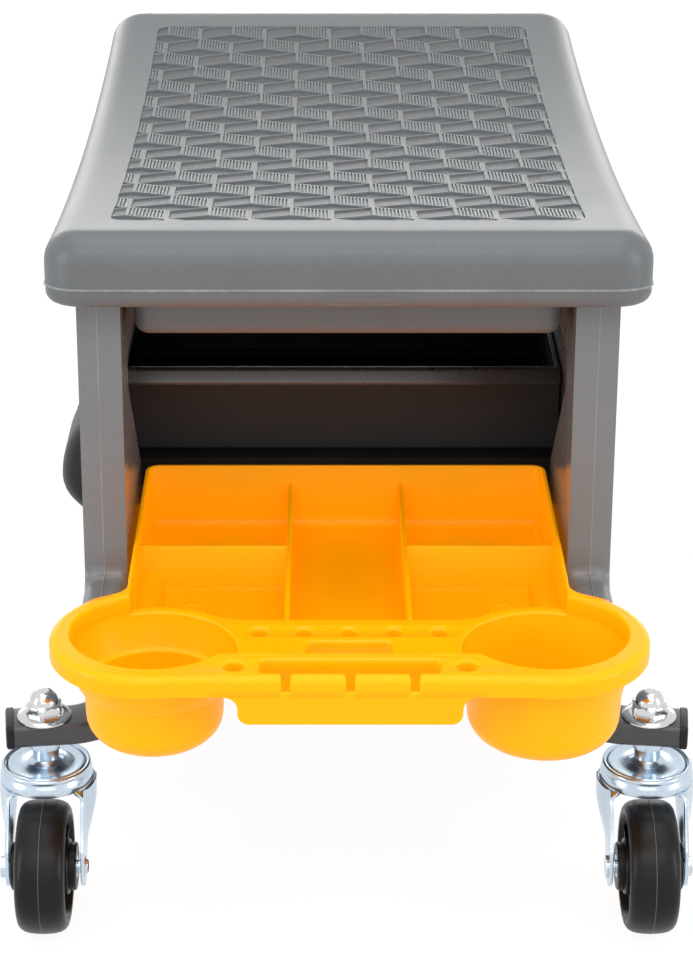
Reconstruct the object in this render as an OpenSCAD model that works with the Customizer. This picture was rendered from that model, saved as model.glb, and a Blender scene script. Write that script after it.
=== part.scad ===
// Rolling creeper seat: a moulded seat on two moulded side panels, a bent tube
// under each panel with swivel casters, a side drawer and two pull-out trays.
// X runs across the seat, -Y points to the front tray, Z is up from the floor.

/* [Seat] */
// Width of the seat
seat_w = 320; // [304:1:340]
// Length of the seat
seat_l = 524; // [500:1:560]
// Height of the seat's ends above the floor
seat_top_h = 409; // [395:1:430]
// Depth of the dish along the length of the seat
dish_depth = 16; // [10:0.5:22]
// Thickness of the seat, not counting the box below it
seat_thick = 40; // [34:1:46]
// Rounding of the seat's upper edge
seat_edge_r = 17; // [10:1:17]
// Rounding of the seat's lower edge
seat_lower_r = 7; // [3:0.5:9]
// Rounding of the seat's corners seen from above
seat_corner_r = 22; // [19:1:40]
// Wall of the moulded seat
seat_wall = 4; // [3:0.5:6]
// Width of the box below the seat
seat_box_w = 231; // [215:1:236]
// Height of the box below the seat, at the ends
seat_box_h = 28; // [22:1:36]
// Length of the box below the seat
seat_box_l = 454; // [440:1:466]
// Width of the anti-slip panel
grip_w = 253; // [220:1:262]
// Length of the anti-slip panel
grip_l = 441; // [400:1:450]
// Depth of the anti-slip panel below the seat's surface
grip_depth = 1.2; // [0.6:0.1:2]
// Rounding of the anti-slip panel's corners
grip_corner_r = 9; // [4:0.5:16]

/* [Side panels] */
// Clear width between the side panels
panel_gap_w = 242.5; // [241:0.5:246]
// Thickness of a side panel
panel_thick = 23.5; // [23:0.5:28]
// Length of a side panel along its upright edges
panel_l = 470; // [460:1:480]
// Wall of the moulded side panels
panel_wall = 3.5; // [3:0.5:5]
// Rounding of the panels' upright edges
panel_edge_r = 6; // [4:0.5:8]
// Reach of each toe beyond the upright edge
toe_reach = 50; // [40:1:54]
// Height of the toe's top above the floor
toe_top_h = 202; // [201:0.5:205]
// Depth of the recess in the middle of each panel's inner face
panel_recess = 8.8; // [8:0.2:9.4]
// Rise of the arch under each panel
panel_arch_h = 10; // [4:1:16]

/* [Side rails] */
// Overall width over the end caps
rails_w = 387; // [380:1:400]
// Depth of the rectangular tube
tube_d = 26; // [26:0.5:32]
// Height of the rectangular tube
tube_h = 13; // [12:0.5:16]
// Wall of the rectangular tube
tube_wall = 1.5; // [1.2:0.1:2.5]
// Height of the tube's top above the floor
tube_top_h = 118; // [118:0.5:122]
// Distance from the middle of the seat to each caster stem
stem_y = 239; // [236:0.5:242]
// Distance from the centreline to each caster stem
stem_x = 170; // [168:0.5:173]
// Angle by which each rail's arm points forward of straight out
arm_angle = 7.2; // [0:0.2:12]
// Radius of the bend on the tube's centre line
bend_r = 26; // [20:1:30]

/* [Trays] */
// Width of the tray between the panels
tray_w = 235; // [230:0.5:235.4]
// Height of the tray's rim above the floor
tray_rim_h = 222; // [222:0.5:226]
// Wall of the moulded trays
tray_wall = 2.2; // [1.8:0.1:3]
// Distance from the middle of the seat to the tray's back wall
tray_back_y = 123; // [121:1:125]
// Distance from the middle of the seat to the tray's front edge
tray_front_y = 391; // [389:1:394]
// Depth of the compartments
tray_depth = 38; // [34:1:40]
// Drop from the rim to the deck in front of the compartments
deck_drop = 11; // [9:0.5:13]
// Radius of the round lobes around the cup holders
lobe_r = 55; // [53:0.5:56]
// Distance from the centreline to each cup holder
cup_x = 100.5; // [99:0.5:102]
// Radius of the cup holder's mouth
cup_mouth_r = 42.5; // [41:0.5:43]
// Radius of the cup holder's lower well
cup_well_r = 34; // [32:0.5:36]
// Radius of the other, straight cup holder at its foot
cup_foot_r = 37.4; // [35:0.2:39]
// Depth of the cup holder
cup_depth = 57.5; // [50:0.5:60]
// Height of the skirt round the tray's front end
skirt_h = 11; // [8:0.5:14]
// Distance that a tray slides out
tray_travel = 120; // [100:5:130]

/* [Drawer] */
// Depth of the drawer's upper part, front to back of the seat
drawer_d = 170; // [150:1:172]
// Height of the drawer
drawer_h = 119; // [110:1:122]
// Height of the drawer's lower face above the floor
drawer_low_h = 150; // [150:0.5:152]
// Height of the lower, narrower part of the drawer
drawer_step_h = 66; // [60:1:72]
// Inset of the lower part on each side
drawer_step = 8; // [6:0.5:10]
// Height of the rolled rim along the drawer's two long sides
drawer_rim_h = 10; // [8:0.5:16]
// Reach of the rolled rim beyond the drawer's sides
drawer_rim = 5; // [3:0.5:8]
// Wall of the drawer
drawer_wall = 2.5; // [2:0.1:4]
// Reach of the pull beyond the side panel
pull_reach = 34.5; // [28:0.5:38]
// Width of the pull
pull_w = 96; // [80:1:110]
// Height of the pull
pull_h = 74; // [60:1:78]

/* [Casters] */
// Diameter of the wheels
wheel_dia = 75; // [74:0.5:76]
// Width of the wheel's tread
wheel_w = 28; // [24:0.5:31]
// Distance from the stem's axis to the axle
caster_trail = 27; // [24:0.5:30]
// Diameter of the stem and its thread
stem_dia = 12; // [10:0.5:12]
// Width of the fork over its two legs
fork_w = 42; // [42:0.5:46]
// Thickness of the fork's sheet steel
fork_sheet = 2.2; // [1.8:0.1:2.4]
// Diameter of the fork's raised bearing ring
ring_dia = 52.5; // [50:0.5:54]
// Diameter of the axle bolt
axle_dia = 8; // [6:0.5:9]

/* [Fits] */
// Clearance of a sliding tray or drawer in its guide
slide_fit = 0.3; // [0.2:0.05:0.6]
// Gap between the drawer's front and the window round it
window_fit = 1.5; // [1:0.1:2]
// Radial clearance of a wheel or fork on its pin
run_fit = 0.08; // [0.04:0.01:0.1]
// Radial clearance of a bolt in a hole
bolt_fit = 0.25; // [0.1:0.05:0.5]
// Gap between a screw boss of the seat and its panel
boss_fit = 0.3; // [0.1:0.05:0.6]

/* [Hidden] */
$fn = 96;
overrun = 1;

// Seat
dish_r = (pow(seat_l / 2, 2) + pow(dish_depth, 2)) / (2 * dish_depth);
dish_z = seat_top_h - dish_depth + dish_r;
seat_under_r = dish_r + seat_thick;
seat_low_h = dish_z - sqrt(pow(seat_under_r, 2) - pow(seat_l / 2, 2));
seat_box_low_h = seat_low_h - seat_box_h;
seat_box_r = 7;
seat_sweep = 2 * asin(seat_l / 2 / dish_r) + 1;
vent_r = 4;

// Side panels
panel_x = panel_gap_w / 2;
panel_out_x = panel_x + panel_thick;
panel_mid_x = panel_x + panel_thick / 2;
panel_y = panel_l / 2;
toe_y = panel_y + toe_reach;
toe_r = 17;
toe_nose_share = 0.76;
toe_heel_rise = 32;
toe_heel_h = tube_top_h + toe_heel_rise;
toe_heel_reach = 24;
toe_heel_y = panel_y + toe_heel_reach;
toe_fillet_r = 8;
recess_x = panel_x + panel_recess;
recess_spare = 7;
recess_low_y = tray_back_y - recess_spare;
recess_end_l = 42;
recess_high_y = panel_y - recess_end_l;
recess_foot_h = 12;
recess_low_h = tube_top_h + panel_arch_h + recess_foot_h;
recess_bend_h = tray_rim_h;
recess_slant_h = tray_rim_h + recess_high_y - recess_low_y;
recess_head_h = 18;
recess_top_h = recess_slant_h + recess_head_h;
arch_foot_l = 45;
arch_y = panel_y - arch_foot_l;
arch_top_h = tube_top_h + panel_arch_h;
foot_solid_rise = 26;
foot_solid_h = tube_top_h + foot_solid_rise;
groove_depth = 5;
groove_h = 4;
groove_drop = 28;
groove_low_h = tray_rim_h - groove_drop;
groove_spare = 4;
groove_back_y = tray_back_y - groove_spare;
boss_r = 10;
screw_r = 3;
screw_head_r = 6;
screw_head_h = 3.4;
screw_bite = 12;
seat_screw_rise = 8;
seat_screw_z = seat_box_low_h + seat_screw_rise;
seat_screw_y = 175;

// Side rails
cap_flange = 3;
cap_plug = 9;
cap_proud = 0.6;
tube_low_h = tube_top_h - tube_h;
tube_end_x = rails_w / 2 - cap_flange * cos(arm_angle) - (tube_d / 2 + cap_proud) * sin(arm_angle);
bend_x = panel_mid_x + bend_r;
bend_steps = 12;
arm_to_stem = (stem_x - bend_x + bend_r * sin(arm_angle)) / cos(arm_angle);
bend_y = stem_y - bend_r * cos(arm_angle) - arm_to_stem * sin(arm_angle);
arm_l = (tube_end_x - bend_x + bend_r * sin(arm_angle)) / cos(arm_angle);
bolt_r = 4;
bolt_head_r = 7.4;
bolt_head_h = 5.2;
bolt_reach = 20;
bolt_washer_r = 8.5;
bolt_washer_h = 1.5;
bolt_y = bend_y - 2 * bolt_washer_r;

// Trays
tray_x = tray_w / 2;
tray_floor_h = tray_rim_h - tray_depth;
deck_h = tray_rim_h - deck_drop;
lobe_proud = 2;
cup_y = tray_front_y - lobe_r + lobe_proud;
strip_l = 28;
strip_back_y = tray_front_y - strip_l;
deck_l = 61;
bay_front_y = strip_back_y - deck_l;
strip_end_gap = 44;
strip_x = cup_x - strip_end_gap;
lip_x = 56;
lip_drop = 26;
lip_low_h = tray_rim_h - lip_drop;
divider_x = 32.5;
back_bay_l = 88;
divider_y = tray_back_y + back_bay_l;
peg_r = 7.5;
peg_x = 84;
peg_gap = 40;
peg_y = bay_front_y - peg_gap;
peg_h = 12;
tongue_w = groove_depth + (panel_x - tray_x) - 3 * slide_fit;
tongue_h = groove_h - 2 * slide_fit;
tongue_low_h = groove_low_h + slide_fit;
tongue_set_back = 2;
tongue_front_y = panel_y - tongue_set_back;
cup_ledge_depth = 29.6;
cup_bend_r = 12;
cup_draft = 1.5;
tip_hole_r = 4.2;
tip_hole_pitch = 23.4;
tip_hole_share = 0.262;
tip_hole_y = bay_front_y + tip_hole_share * deck_l;
tool_hole_r = 5.4;
tool_hole_x = 58.1;
tool_hole_share = 0.482;
tool_hole_y = tray_front_y - tool_hole_share * strip_l;
short_slot = [44, 14];
short_slot_share = 0.443;
short_slot_y = strip_back_y - short_slot_share * deck_l;
long_slot = [90, 14];
long_slot_y = tool_hole_y;
notch_w = 4.1;
notch_h = 11.5;
notch_pitch = 32;

// Drawer and its runners
drawer_y = drawer_d / 2;
drawer_top_h = drawer_low_h + drawer_h;
drawer_step_z = drawer_low_h + drawer_step_h;
drawer_low_y = drawer_y - drawer_step;
drawer_front_inset = 1;
drawer_front_x = panel_out_x - drawer_front_inset;
drawer_back_x = recess_x - window_fit;
front_plate = 3.5;
window_y = drawer_y + drawer_rim + window_fit;
window_low_h = drawer_low_h - window_fit;
window_top_h = drawer_top_h + window_fit;
runner_in_y = drawer_low_y + 2 * slide_fit;
runner_sheet = 2.5;
runner_w = 20;
runner_web_h = 18;
runner_top_h = drawer_step_z - slide_fit;
runner_tab_l = 15;
runner_tab_y = runner_in_y + runner_w + runner_tab_l;
tab_screw_r = 2.5;
tab_screw_head_r = 4;
tab_screw_head_h = 2.6;
tab_screw_bite = 8;
tab_screw_edge = 7.5;
tab_screw_y = runner_tab_y - tab_screw_edge;
tab_screw_drop = 4.8;
tab_screw_step = 8.8;
pull_rise = 3;
pull_low_h = drawer_low_h + pull_rise;
pull_foot_r = 20;
pull_arc_r = (pow(pull_reach, 2) + pow(pull_h - pull_foot_r, 2)) / (2 * pull_reach);
pull_plan_r = 27;
pull_mouth_r = 14;
pull_wall = 3;
pull_screw_z = pull_low_h + pull_foot_r;

// Casters
axle_h = wheel_dia / 2;
fork_in_w = fork_w - 2 * fork_sheet;
wheel_gap = 10;
fork_top_h = wheel_dia + wheel_gap;
ring_h = 5;
ring_lip = 2.2;
leg_r = 11;
leg_top_d = 40;
race_edge_gap = 4.2;
race_r = ring_dia / 2 - race_edge_gap;
race_h = 2;
race_rise = 3.2;
race_low_h = fork_top_h + race_rise;
ball_r = 1.5;
ball_count = 14;
ball_inset = 4;
ball_pitch_r = race_r - ball_inset;
collar_r = 8.8;
stem_head_r = 11;
stem_head_h = 3;
stem_low_h = fork_top_h - fork_sheet - stem_head_h - slide_fit;
washer_r = 15.3;
washer_h = 2.5;
nut_hex_r = 11;
nut_hex_h = 6.5;
nut_dome_r = 8.2;
thread_spare = 3;
stem_thread_h = washer_h + nut_hex_h + thread_spare;
hub_r = 15.5;
hub_play = 1;
hub_w = fork_in_w - hub_play;
hub_bore_r = 6.5;
sleeve_wall = hub_bore_r - axle_dia / 2 - run_fit;
axle_head_r = 6.5;
axle_head_h = 3.4;
web_w = 12;
tyre_depth = 9;
rim_in_r = axle_h - tyre_depth;
hub_chamfer = 2;
web_fillet = 1;
tread_shoulder = 6;
tread_edge = 2.4;
tread_crown = 0.6;
tyre_side = 2;
leg_shoulder_h = 10;
leg_shoulder_back_h = 4;
nut_chamfer = 1;

CASTERS = [["front_left", -1, -1], ["front_right", 1, -1], ["rear_left", -1, 1], ["rear_right", 1, 1]];

// Rectangle with rounded corners, centred
module rounded_rect(size, r) {
    square([size.x - 2 * r, size.y], center = true);
    square([size.x, size.y - 2 * r], center = true);
    for (i = [-1, 1], j = [-1, 1])
        translate([i * (size.x / 2 - r), j * (size.y / 2 - r)]) circle(r);
}

// Box between two corners
module block(low, high) {
    translate(low) cube([high.x - low.x, high.y - low.y, high.z - low.z]);
}

// Repeats its children mirrored about the centre line
module both_sides() {
    children();
    mirror([1, 0, 0]) children();
}

// Repeats its children turned half round, for the rear end
module both_ends() {
    children();
    rotate([0, 0, 180]) children();
}

// A cylinder along X from one place to another
module rod_x(x_from, x_to, r) {
    translate([x_from, 0, 0]) rotate([0, 90, 0]) cylinder(h = x_to - x_from, r = r);
}

// Cross-section of the seat: x runs down from the dish, y across the seat
module seat_section(inset) {
    half = seat_w / 2 - inset;
    low = seat_thick - inset;
    top_r = max(seat_edge_r - inset, 1);
    low_r = max(seat_lower_r - inset, 1);
    translate([inset + top_r, -half]) square([low - inset - top_r - low_r, 2 * half]);
    translate([inset, -half + top_r]) square([low - inset, 2 * (half - top_r)]);
    translate([low - low_r - overrun / 2, -half + low_r]) square([low_r + overrun / 2, 2 * (half - low_r)]);
    for (side = [-1, 1]) {
        translate([inset + top_r, side * (half - top_r)]) circle(top_r);
        translate([low - low_r, side * (half - low_r)]) circle(low_r);
    }
}

// The dished slab: the cross-section swept about the dish's axis
module dished_slab(inset) {
    translate([0, 0, dish_z]) rotate([0, 90, 0]) rotate([0, 0, -seat_sweep / 2])
        rotate_extrude(angle = seat_sweep, $fn = 360) translate([dish_r, 0]) seat_section(inset);
}

// Rounds the two ends of the seat over their whole width
module seat_end_trim(inset) {
    r = seat_edge_r - inset;
    y = seat_l / 2 - inset - r;
    z = dish_z - sqrt(pow(dish_r + inset + r, 2) - pow(y, 2));
    for (side = [0, 1]) mirror([0, side, 0]) translate([-seat_w, y, z]) difference() {
        cube([2 * seat_w, 2 * r, 2 * r]);
        rotate([0, 90, 0]) cylinder(h = 2 * seat_w, r = r);
    }
}

module seat_solid(inset) {
    difference() {
        intersection() {
            dished_slab(inset);
            translate([0, 0, seat_low_h - seat_thick]) linear_extrude(3 * seat_thick)
                rounded_rect([seat_w - 2 * inset, seat_l - 2 * inset], seat_corner_r - inset);
        }
        seat_end_trim(inset);
    }
}

// The block under the seat that sits between the side panels
module seat_box(inset) {
    half = seat_box_w / 2 - inset;
    low = seat_box_low_h + inset;
    top = seat_low_h + seat_thick / 4;
    r = seat_box_r - inset;
    difference() {
        translate([0, seat_box_l / 2 - inset, 0]) rotate([90, 0, 0])
            linear_extrude(seat_box_l - 2 * inset) {
            translate([-half, low + r]) square([2 * half, top - low - r]);
            translate([-half + r, low]) square([2 * (half - r), r + overrun]);
            for (side = [-1, 1]) translate([side * (half - r), low + r]) circle(r);
        }
        translate([-seat_w / 2, 0, dish_z]) rotate([0, 90, 0])
            cylinder(h = seat_w, r = dish_r + seat_wall, $fn = 360);
    }
}

module seat() color([0.53, 0.54, 0.55]) difference() {
    union() {
        seat_solid(0);
        seat_box(0);
        both_sides() for (y = [-seat_screw_y, seat_screw_y])
            translate([0, y, seat_screw_z]) rod_x((seat_box_w - seat_wall) / 2, panel_x - boss_fit,
                0.7 * boss_r);
    }
    seat_solid(seat_wall);
    seat_box(seat_wall);
    intersection() {
        translate([0, 0, seat_low_h]) linear_extrude(2 * seat_thick)
            rounded_rect([grip_w, grip_l], grip_corner_r);
        translate([-grip_w, 0, dish_z]) rotate([0, 90, 0])
            cylinder(h = 2 * grip_w, r = dish_r + grip_depth, $fn = 360);
    }
    cylinder(h = seat_low_h, r = vent_r);
    for (y = [-seat_screw_y, seat_screw_y])
        both_sides() translate([0, y, seat_screw_z]) rod_x(seat_box_w / 2 - screw_bite, panel_x, screw_r);
}

// Side view of a panel, Y across and Z up, drawn inward by the wall for the hollow
module panel_outline(inset) {
    y = panel_y - inset;
    toe_c = [toe_y - toe_r, toe_top_h - toe_r];
    foot_h = tube_top_h + inset;
    nose_r = toe_nose_share * (toe_r - inset);
    difference() {
        union() {
            translate([-y, foot_h]) square([2 * y, seat_top_h - foot_h]);
            for (end = [-1, 1]) {
                polygon([[end * toe_c.x, toe_top_h - inset], [0, toe_top_h - inset], [0, foot_h],
                    [end * (panel_y + inset), foot_h], [end * (toe_heel_y - inset), toe_heel_h - inset / 2],
                    [end * (toe_c.x + nose_r), toe_c.y - nose_r / 2], [end * toe_c.x, toe_c.y]]);
                translate([end * toe_c.x, toe_c.y]) circle(toe_r - inset);
                translate([end * y, toe_top_h - inset]) difference() {
                    translate([end * toe_fillet_r / 2, toe_fillet_r / 2])
                        square(toe_fillet_r, center = true);
                    translate([end * toe_fillet_r, toe_fillet_r]) circle(toe_fillet_r);
                }
            }
        }
        translate([0, dish_z]) circle(seat_under_r + inset, $fn = 360);
        polygon([[-arch_y - inset, tube_top_h - overrun],
            [-arch_y + panel_arch_h + inset, arch_top_h + inset],
            [arch_y - panel_arch_h - inset, arch_top_h + inset], [arch_y + inset, tube_top_h - overrun]]);
    }
}

// The outline laid up across the panel's thickness
module panel_slab(x_from, x_to, inset) {
    translate([x_from, 0, 0]) rotate([90, 0, 90]) linear_extrude(x_to - x_from) panel_outline(inset);
}

// Cuts that round the upright edges above the toes
module panel_edge_trim() {
    translate([0, 0, toe_top_h + toe_fillet_r]) linear_extrude(seat_top_h) difference() {
        for (end = [-1, 1]) translate([panel_mid_x, end * panel_y])
            square([panel_thick + 2 * overrun, 2 * panel_edge_r], center = true);
        translate([panel_mid_x, 0]) rounded_rect([panel_thick, 2 * panel_y], panel_edge_r);
    }
}

// The recess in a panel's inner face, grown by the wall for the hollow behind it
module panel_recess_space(grow) {
    low_y = recess_low_y + grow;
    high_y = recess_high_y + grow;
    translate([panel_x - overrun, 0, 0]) rotate([90, 0, 90]) linear_extrude(panel_recess + overrun + grow)
        polygon([[-high_y, recess_top_h + grow], [high_y, recess_top_h + grow], [high_y, recess_slant_h],
            [low_y, recess_bend_h], [low_y, recess_low_h - grow], [-low_y, recess_low_h - grow],
            [-low_y, recess_bend_h], [-high_y, recess_slant_h]]);
}

// The hollow inside a panel, interrupted by feet, groove walls and screw bosses
module panel_hollow() {
    tab_z = runner_top_h - runner_web_h / 2;
    difference() {
        panel_slab(panel_x + panel_wall, panel_out_x - panel_wall, 1.6 * panel_wall);
        panel_recess_space(panel_wall);
        for (end = [0, 1]) mirror([0, end, 0]) {
            block([panel_x, -toe_y, 0], [panel_out_x, 2 * boss_r - bolt_y, foot_solid_h]);
            block([panel_x, -toe_y, groove_low_h - panel_wall], [panel_x + groove_depth + panel_wall,
                panel_wall - groove_back_y, groove_low_h + groove_h + panel_wall]);
            block([panel_x, -tab_screw_y - boss_r, tab_z - boss_r],
                [panel_out_x, boss_r - tab_screw_y, tab_z + boss_r]);
        }
        for (y = [-seat_screw_y, seat_screw_y])
            translate([0, y, seat_screw_z]) rod_x(panel_x, panel_out_x, boss_r);
    }
}

// A right-hand panel without a window
module panel_body() difference() {
    panel_slab(panel_x, panel_out_x, 0);
    panel_edge_trim();
    panel_recess_space(0);
    panel_hollow();
    for (end = [0, 1]) mirror([0, end, 0]) {
        block([panel_x - overrun, -toe_y - overrun, groove_low_h],
            [panel_x + groove_depth, -groove_back_y, groove_low_h + groove_h]);
        translate([panel_mid_x, -bolt_y, 0]) cylinder(h = tube_top_h + bolt_reach + overrun, r = bolt_r);
    }
    for (y = [-seat_screw_y, seat_screw_y]) translate([0, y, seat_screw_z]) {
        rod_x(panel_x - overrun, panel_out_x + overrun, screw_r);
        rod_x(panel_out_x - screw_head_h - overrun, panel_out_x + overrun, screw_head_r + bolt_fit);
    }
    at_tab_screws() rod_x(recess_x - overrun, recess_x + tab_screw_bite, tab_screw_r);
    translate([panel_mid_x, 0, tube_top_h]) cylinder(h = 2 * panel_arch_h, r = vent_r);
}

// The right-hand panel has two stiffening ribs where the other one has its window
module right_panel() color([0.53, 0.54, 0.55]) {
    panel_body();
    for (end = [-1, 1]) translate([recess_x, end * drawer_low_y - panel_wall / 2, recess_low_h])
        cube([panel_out_x - recess_x, panel_wall, recess_top_h - recess_low_h]);
}

module left_panel() color([0.53, 0.54, 0.55]) difference() {
    union() {
        mirror([1, 0, 0]) panel_body();
        block([-panel_out_x, -window_y - panel_wall, window_low_h - panel_wall],
            [-recess_x, window_y + panel_wall, window_top_h + panel_wall]);
    }
    block([-panel_out_x - overrun, -window_y, window_low_h], [-panel_x + overrun, window_y, window_top_h]);
}

// Points along one edge of a rail's end, from the straight run round the bend to the arm's end
function rail_edge(offset, spare) = [
    for (i = [0:bend_steps]) let (a = 180 - i * (90 - arm_angle) / bend_steps)
        [bend_x + (bend_r + offset) * cos(a), bend_y + (bend_r + offset) * sin(a)],
    [bend_x - (bend_r + offset) * sin(arm_angle) + (arm_l + spare) * cos(arm_angle),
        bend_y + (bend_r + offset) * cos(arm_angle) + (arm_l + spare) * sin(arm_angle)]];

function backwards(points) = [for (i = [len(points) - 1:-1:0]) points[i]];

function mirrored_y(points) = [for (p = points) [p.x, -p.y]];

module rail_plan(width, spare) {
    far = rail_edge(width / 2, spare);
    near = rail_edge(-width / 2, spare);
    polygon(concat(far, backwards(near), mirrored_y(near), backwards(mirrored_y(far))));
}

// A bent rectangular tube under the right-hand panel, open at both ends
module side_rail() difference() {
    translate([0, 0, tube_low_h]) linear_extrude(tube_h) rail_plan(tube_d, 0);
    translate([0, 0, tube_low_h + tube_wall]) linear_extrude(tube_h - 2 * tube_wall)
        rail_plan(tube_d - 2 * tube_wall, overrun);
    for (end = [-1, 1]) {
        translate([stem_x, end * stem_y, 0]) cylinder(h = tube_top_h + overrun,
            r = stem_dia / 2 + bolt_fit);
        translate([panel_mid_x, end * bolt_y, 0]) cylinder(h = tube_top_h + overrun, r = bolt_r + bolt_fit);
    }
}

module right_side_rail() color([0.33, 0.33, 0.35]) side_rail();

module left_side_rail() color([0.33, 0.33, 0.35]) mirror([1, 0, 0]) side_rail();

// Plastic plug with a flange a little larger than the tube
module end_cap() {
    plug_d = tube_d - 2 * tube_wall - bolt_fit;
    plug_h = tube_h - 2 * tube_wall - bolt_fit;
    translate([bend_x, -bend_y, tube_top_h - tube_h / 2]) rotate([0, 0, -arm_angle])
        translate([arm_l, -bend_r, 0]) rotate([90, 0, 90]) {
            linear_extrude(cap_flange)
                rounded_rect([tube_d + 2 * cap_proud, tube_h + 2 * cap_proud], 2 * cap_proud);
            translate([0, 0, -cap_plug]) linear_extrude(cap_plug + overrun)
                square([plug_d, plug_h], center = true);
        }
}

module rail_end_caps() color([0.2, 0.2, 0.21]) both_ends() both_sides() end_cap();

// Hexagon head or nut standing on z = 0
module hexagon(h, r) {
    cylinder(h = h, r = r, $fn = 6);
}

module panel_bolts() color([0.75, 0.76, 0.78]) both_ends() both_sides()
    translate([panel_mid_x, -bolt_y, tube_low_h - bolt_washer_h]) {
        translate([0, 0, -bolt_head_h]) hexagon(bolt_head_h, bolt_head_r);
        translate([0, 0, -overrun]) cylinder(h = bolt_washer_h + tube_h + bolt_reach + overrun, r = bolt_r);
    }

module panel_bolt_washers() color([0.75, 0.76, 0.78]) both_ends() both_sides()
    translate([panel_mid_x, -bolt_y, tube_low_h - bolt_washer_h]) difference() {
        cylinder(h = bolt_washer_h, r = bolt_washer_r);
        translate([0, 0, -overrun]) cylinder(h = bolt_washer_h + 2 * overrun, r = bolt_r + bolt_fit);
    }

module seat_screws() color([0.75, 0.76, 0.78]) both_sides()
    for (y = [-seat_screw_y, seat_screw_y]) translate([0, y, seat_screw_z]) {
        rod_x(seat_box_w / 2 - screw_bite, panel_out_x - screw_head_h + overrun, screw_r);
        rod_x(panel_out_x - screw_head_h, panel_out_x - screw_head_h / 4, screw_head_r);
    }

// Places its children on the two rows of screws that hold a runner's tabs
module at_tab_screws() {
    for (y = [-tab_screw_y, tab_screw_y], row = [0, 1])
        translate([0, y, runner_top_h - tab_screw_drop - row * tab_screw_step]) children();
}

// Angle rail that carries the drawer's step, with a screwed tab at each end
module drawer_runner() difference() {
    union() {
        block([-recess_x, -runner_in_y - runner_w, runner_top_h - runner_sheet],
            [recess_x, -runner_in_y, runner_top_h]);
        block([-recess_x, -runner_in_y - runner_w, runner_top_h - runner_web_h],
            [recess_x, -runner_in_y - runner_w + runner_sheet, runner_top_h]);
        both_sides() block([recess_x - runner_sheet, -runner_tab_y, runner_top_h - runner_web_h],
            [recess_x, -runner_in_y - runner_w + runner_sheet / 2, runner_top_h]);
    }
    both_sides() at_tab_screws() rod_x(recess_x - 2 * runner_sheet, recess_x + overrun,
        tab_screw_r + bolt_fit);
}

module front_drawer_runner() color([0.12, 0.12, 0.12]) drawer_runner();

module rear_drawer_runner() color([0.12, 0.12, 0.12]) mirror([0, 1, 0]) drawer_runner();

module runner_screws() color([0.75, 0.76, 0.78]) both_sides() at_tab_screws() {
    rod_x(recess_x - runner_sheet - tab_screw_head_h, recess_x - runner_sheet, tab_screw_head_r);
    rod_x(recess_x - runner_sheet - overrun, recess_x + tab_screw_bite - overrun, tab_screw_r);
}

// Drawer cross-section, Y across and Z up
module drawer_section(inset, top) {
    translate([-drawer_low_y + inset, drawer_low_h + inset])
        square([2 * (drawer_low_y - inset), drawer_step_h + inset + overrun]);
    translate([-drawer_y + inset, drawer_step_z + inset])
        square([2 * (drawer_y - inset), top - drawer_step_z - inset]);
}

// Cross-section of the rim along one long side, its upper edge rounded
module drawer_rim_section() {
    translate([-drawer_rim, -drawer_rim_h]) square([drawer_rim + overrun, drawer_rim_h - drawer_rim]);
    intersection() {
        translate([0, -drawer_rim]) circle(drawer_rim);
        translate([-drawer_rim, -drawer_rim]) square([drawer_rim + overrun, drawer_rim]);
    }
}

module drawer() color([0.1, 0.1, 0.1]) difference() {
    union() {
        translate([-drawer_front_x, 0, 0]) rotate([90, 0, 90])
            linear_extrude(drawer_front_x + drawer_back_x) drawer_section(0, drawer_top_h);
        block([-drawer_front_x, -drawer_y - drawer_rim, drawer_step_z],
            [-drawer_front_x + front_plate, drawer_y + drawer_rim, drawer_top_h - drawer_rim]);
        for (side = [0, 1]) mirror([0, side, 0]) translate([-drawer_front_x, -drawer_y, drawer_top_h])
            rotate([90, 0, 90]) linear_extrude(drawer_front_x + drawer_back_x) drawer_rim_section();
    }
    translate([-drawer_front_x + front_plate, 0, 0]) rotate([90, 0, 90])
        linear_extrude(drawer_front_x + drawer_back_x - front_plate - drawer_wall)
            drawer_section(drawer_wall, drawer_top_h + overrun);
    for (end = [-1, 1]) translate([0, end * (pull_w / 2 - boss_r), pull_screw_z])
        rod_x(-drawer_front_x - overrun, -drawer_front_x + 2 * front_plate, tab_screw_r + bolt_fit);
}

// Side view of the cup-shaped pull: a long upper curve over a short rounded foot
module pull_profile(inset) {
    reach = pull_reach - inset;
    foot_r = pull_foot_r - inset;
    intersection() {
        translate([pull_reach - pull_arc_r, pull_foot_r]) circle(pull_arc_r - inset);
        translate([0, pull_foot_r]) square([reach, pull_h]);
    }
    translate([0, inset]) square([reach - foot_r, foot_r + overrun / 4]);
    intersection() {
        translate([reach - foot_r, pull_foot_r]) circle(foot_r);
        translate([0, inset]) square([reach, foot_r + overrun / 4]);
    }
}

// Plan of the pull: rounded away from the panel
module pull_plan(inset) {
    intersection() {
        translate([0, -pull_w / 2]) square([pull_reach, pull_w]);
        rounded_rect([2 * (pull_reach - inset), pull_w - 2 * inset], pull_plan_r - inset);
    }
}

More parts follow.
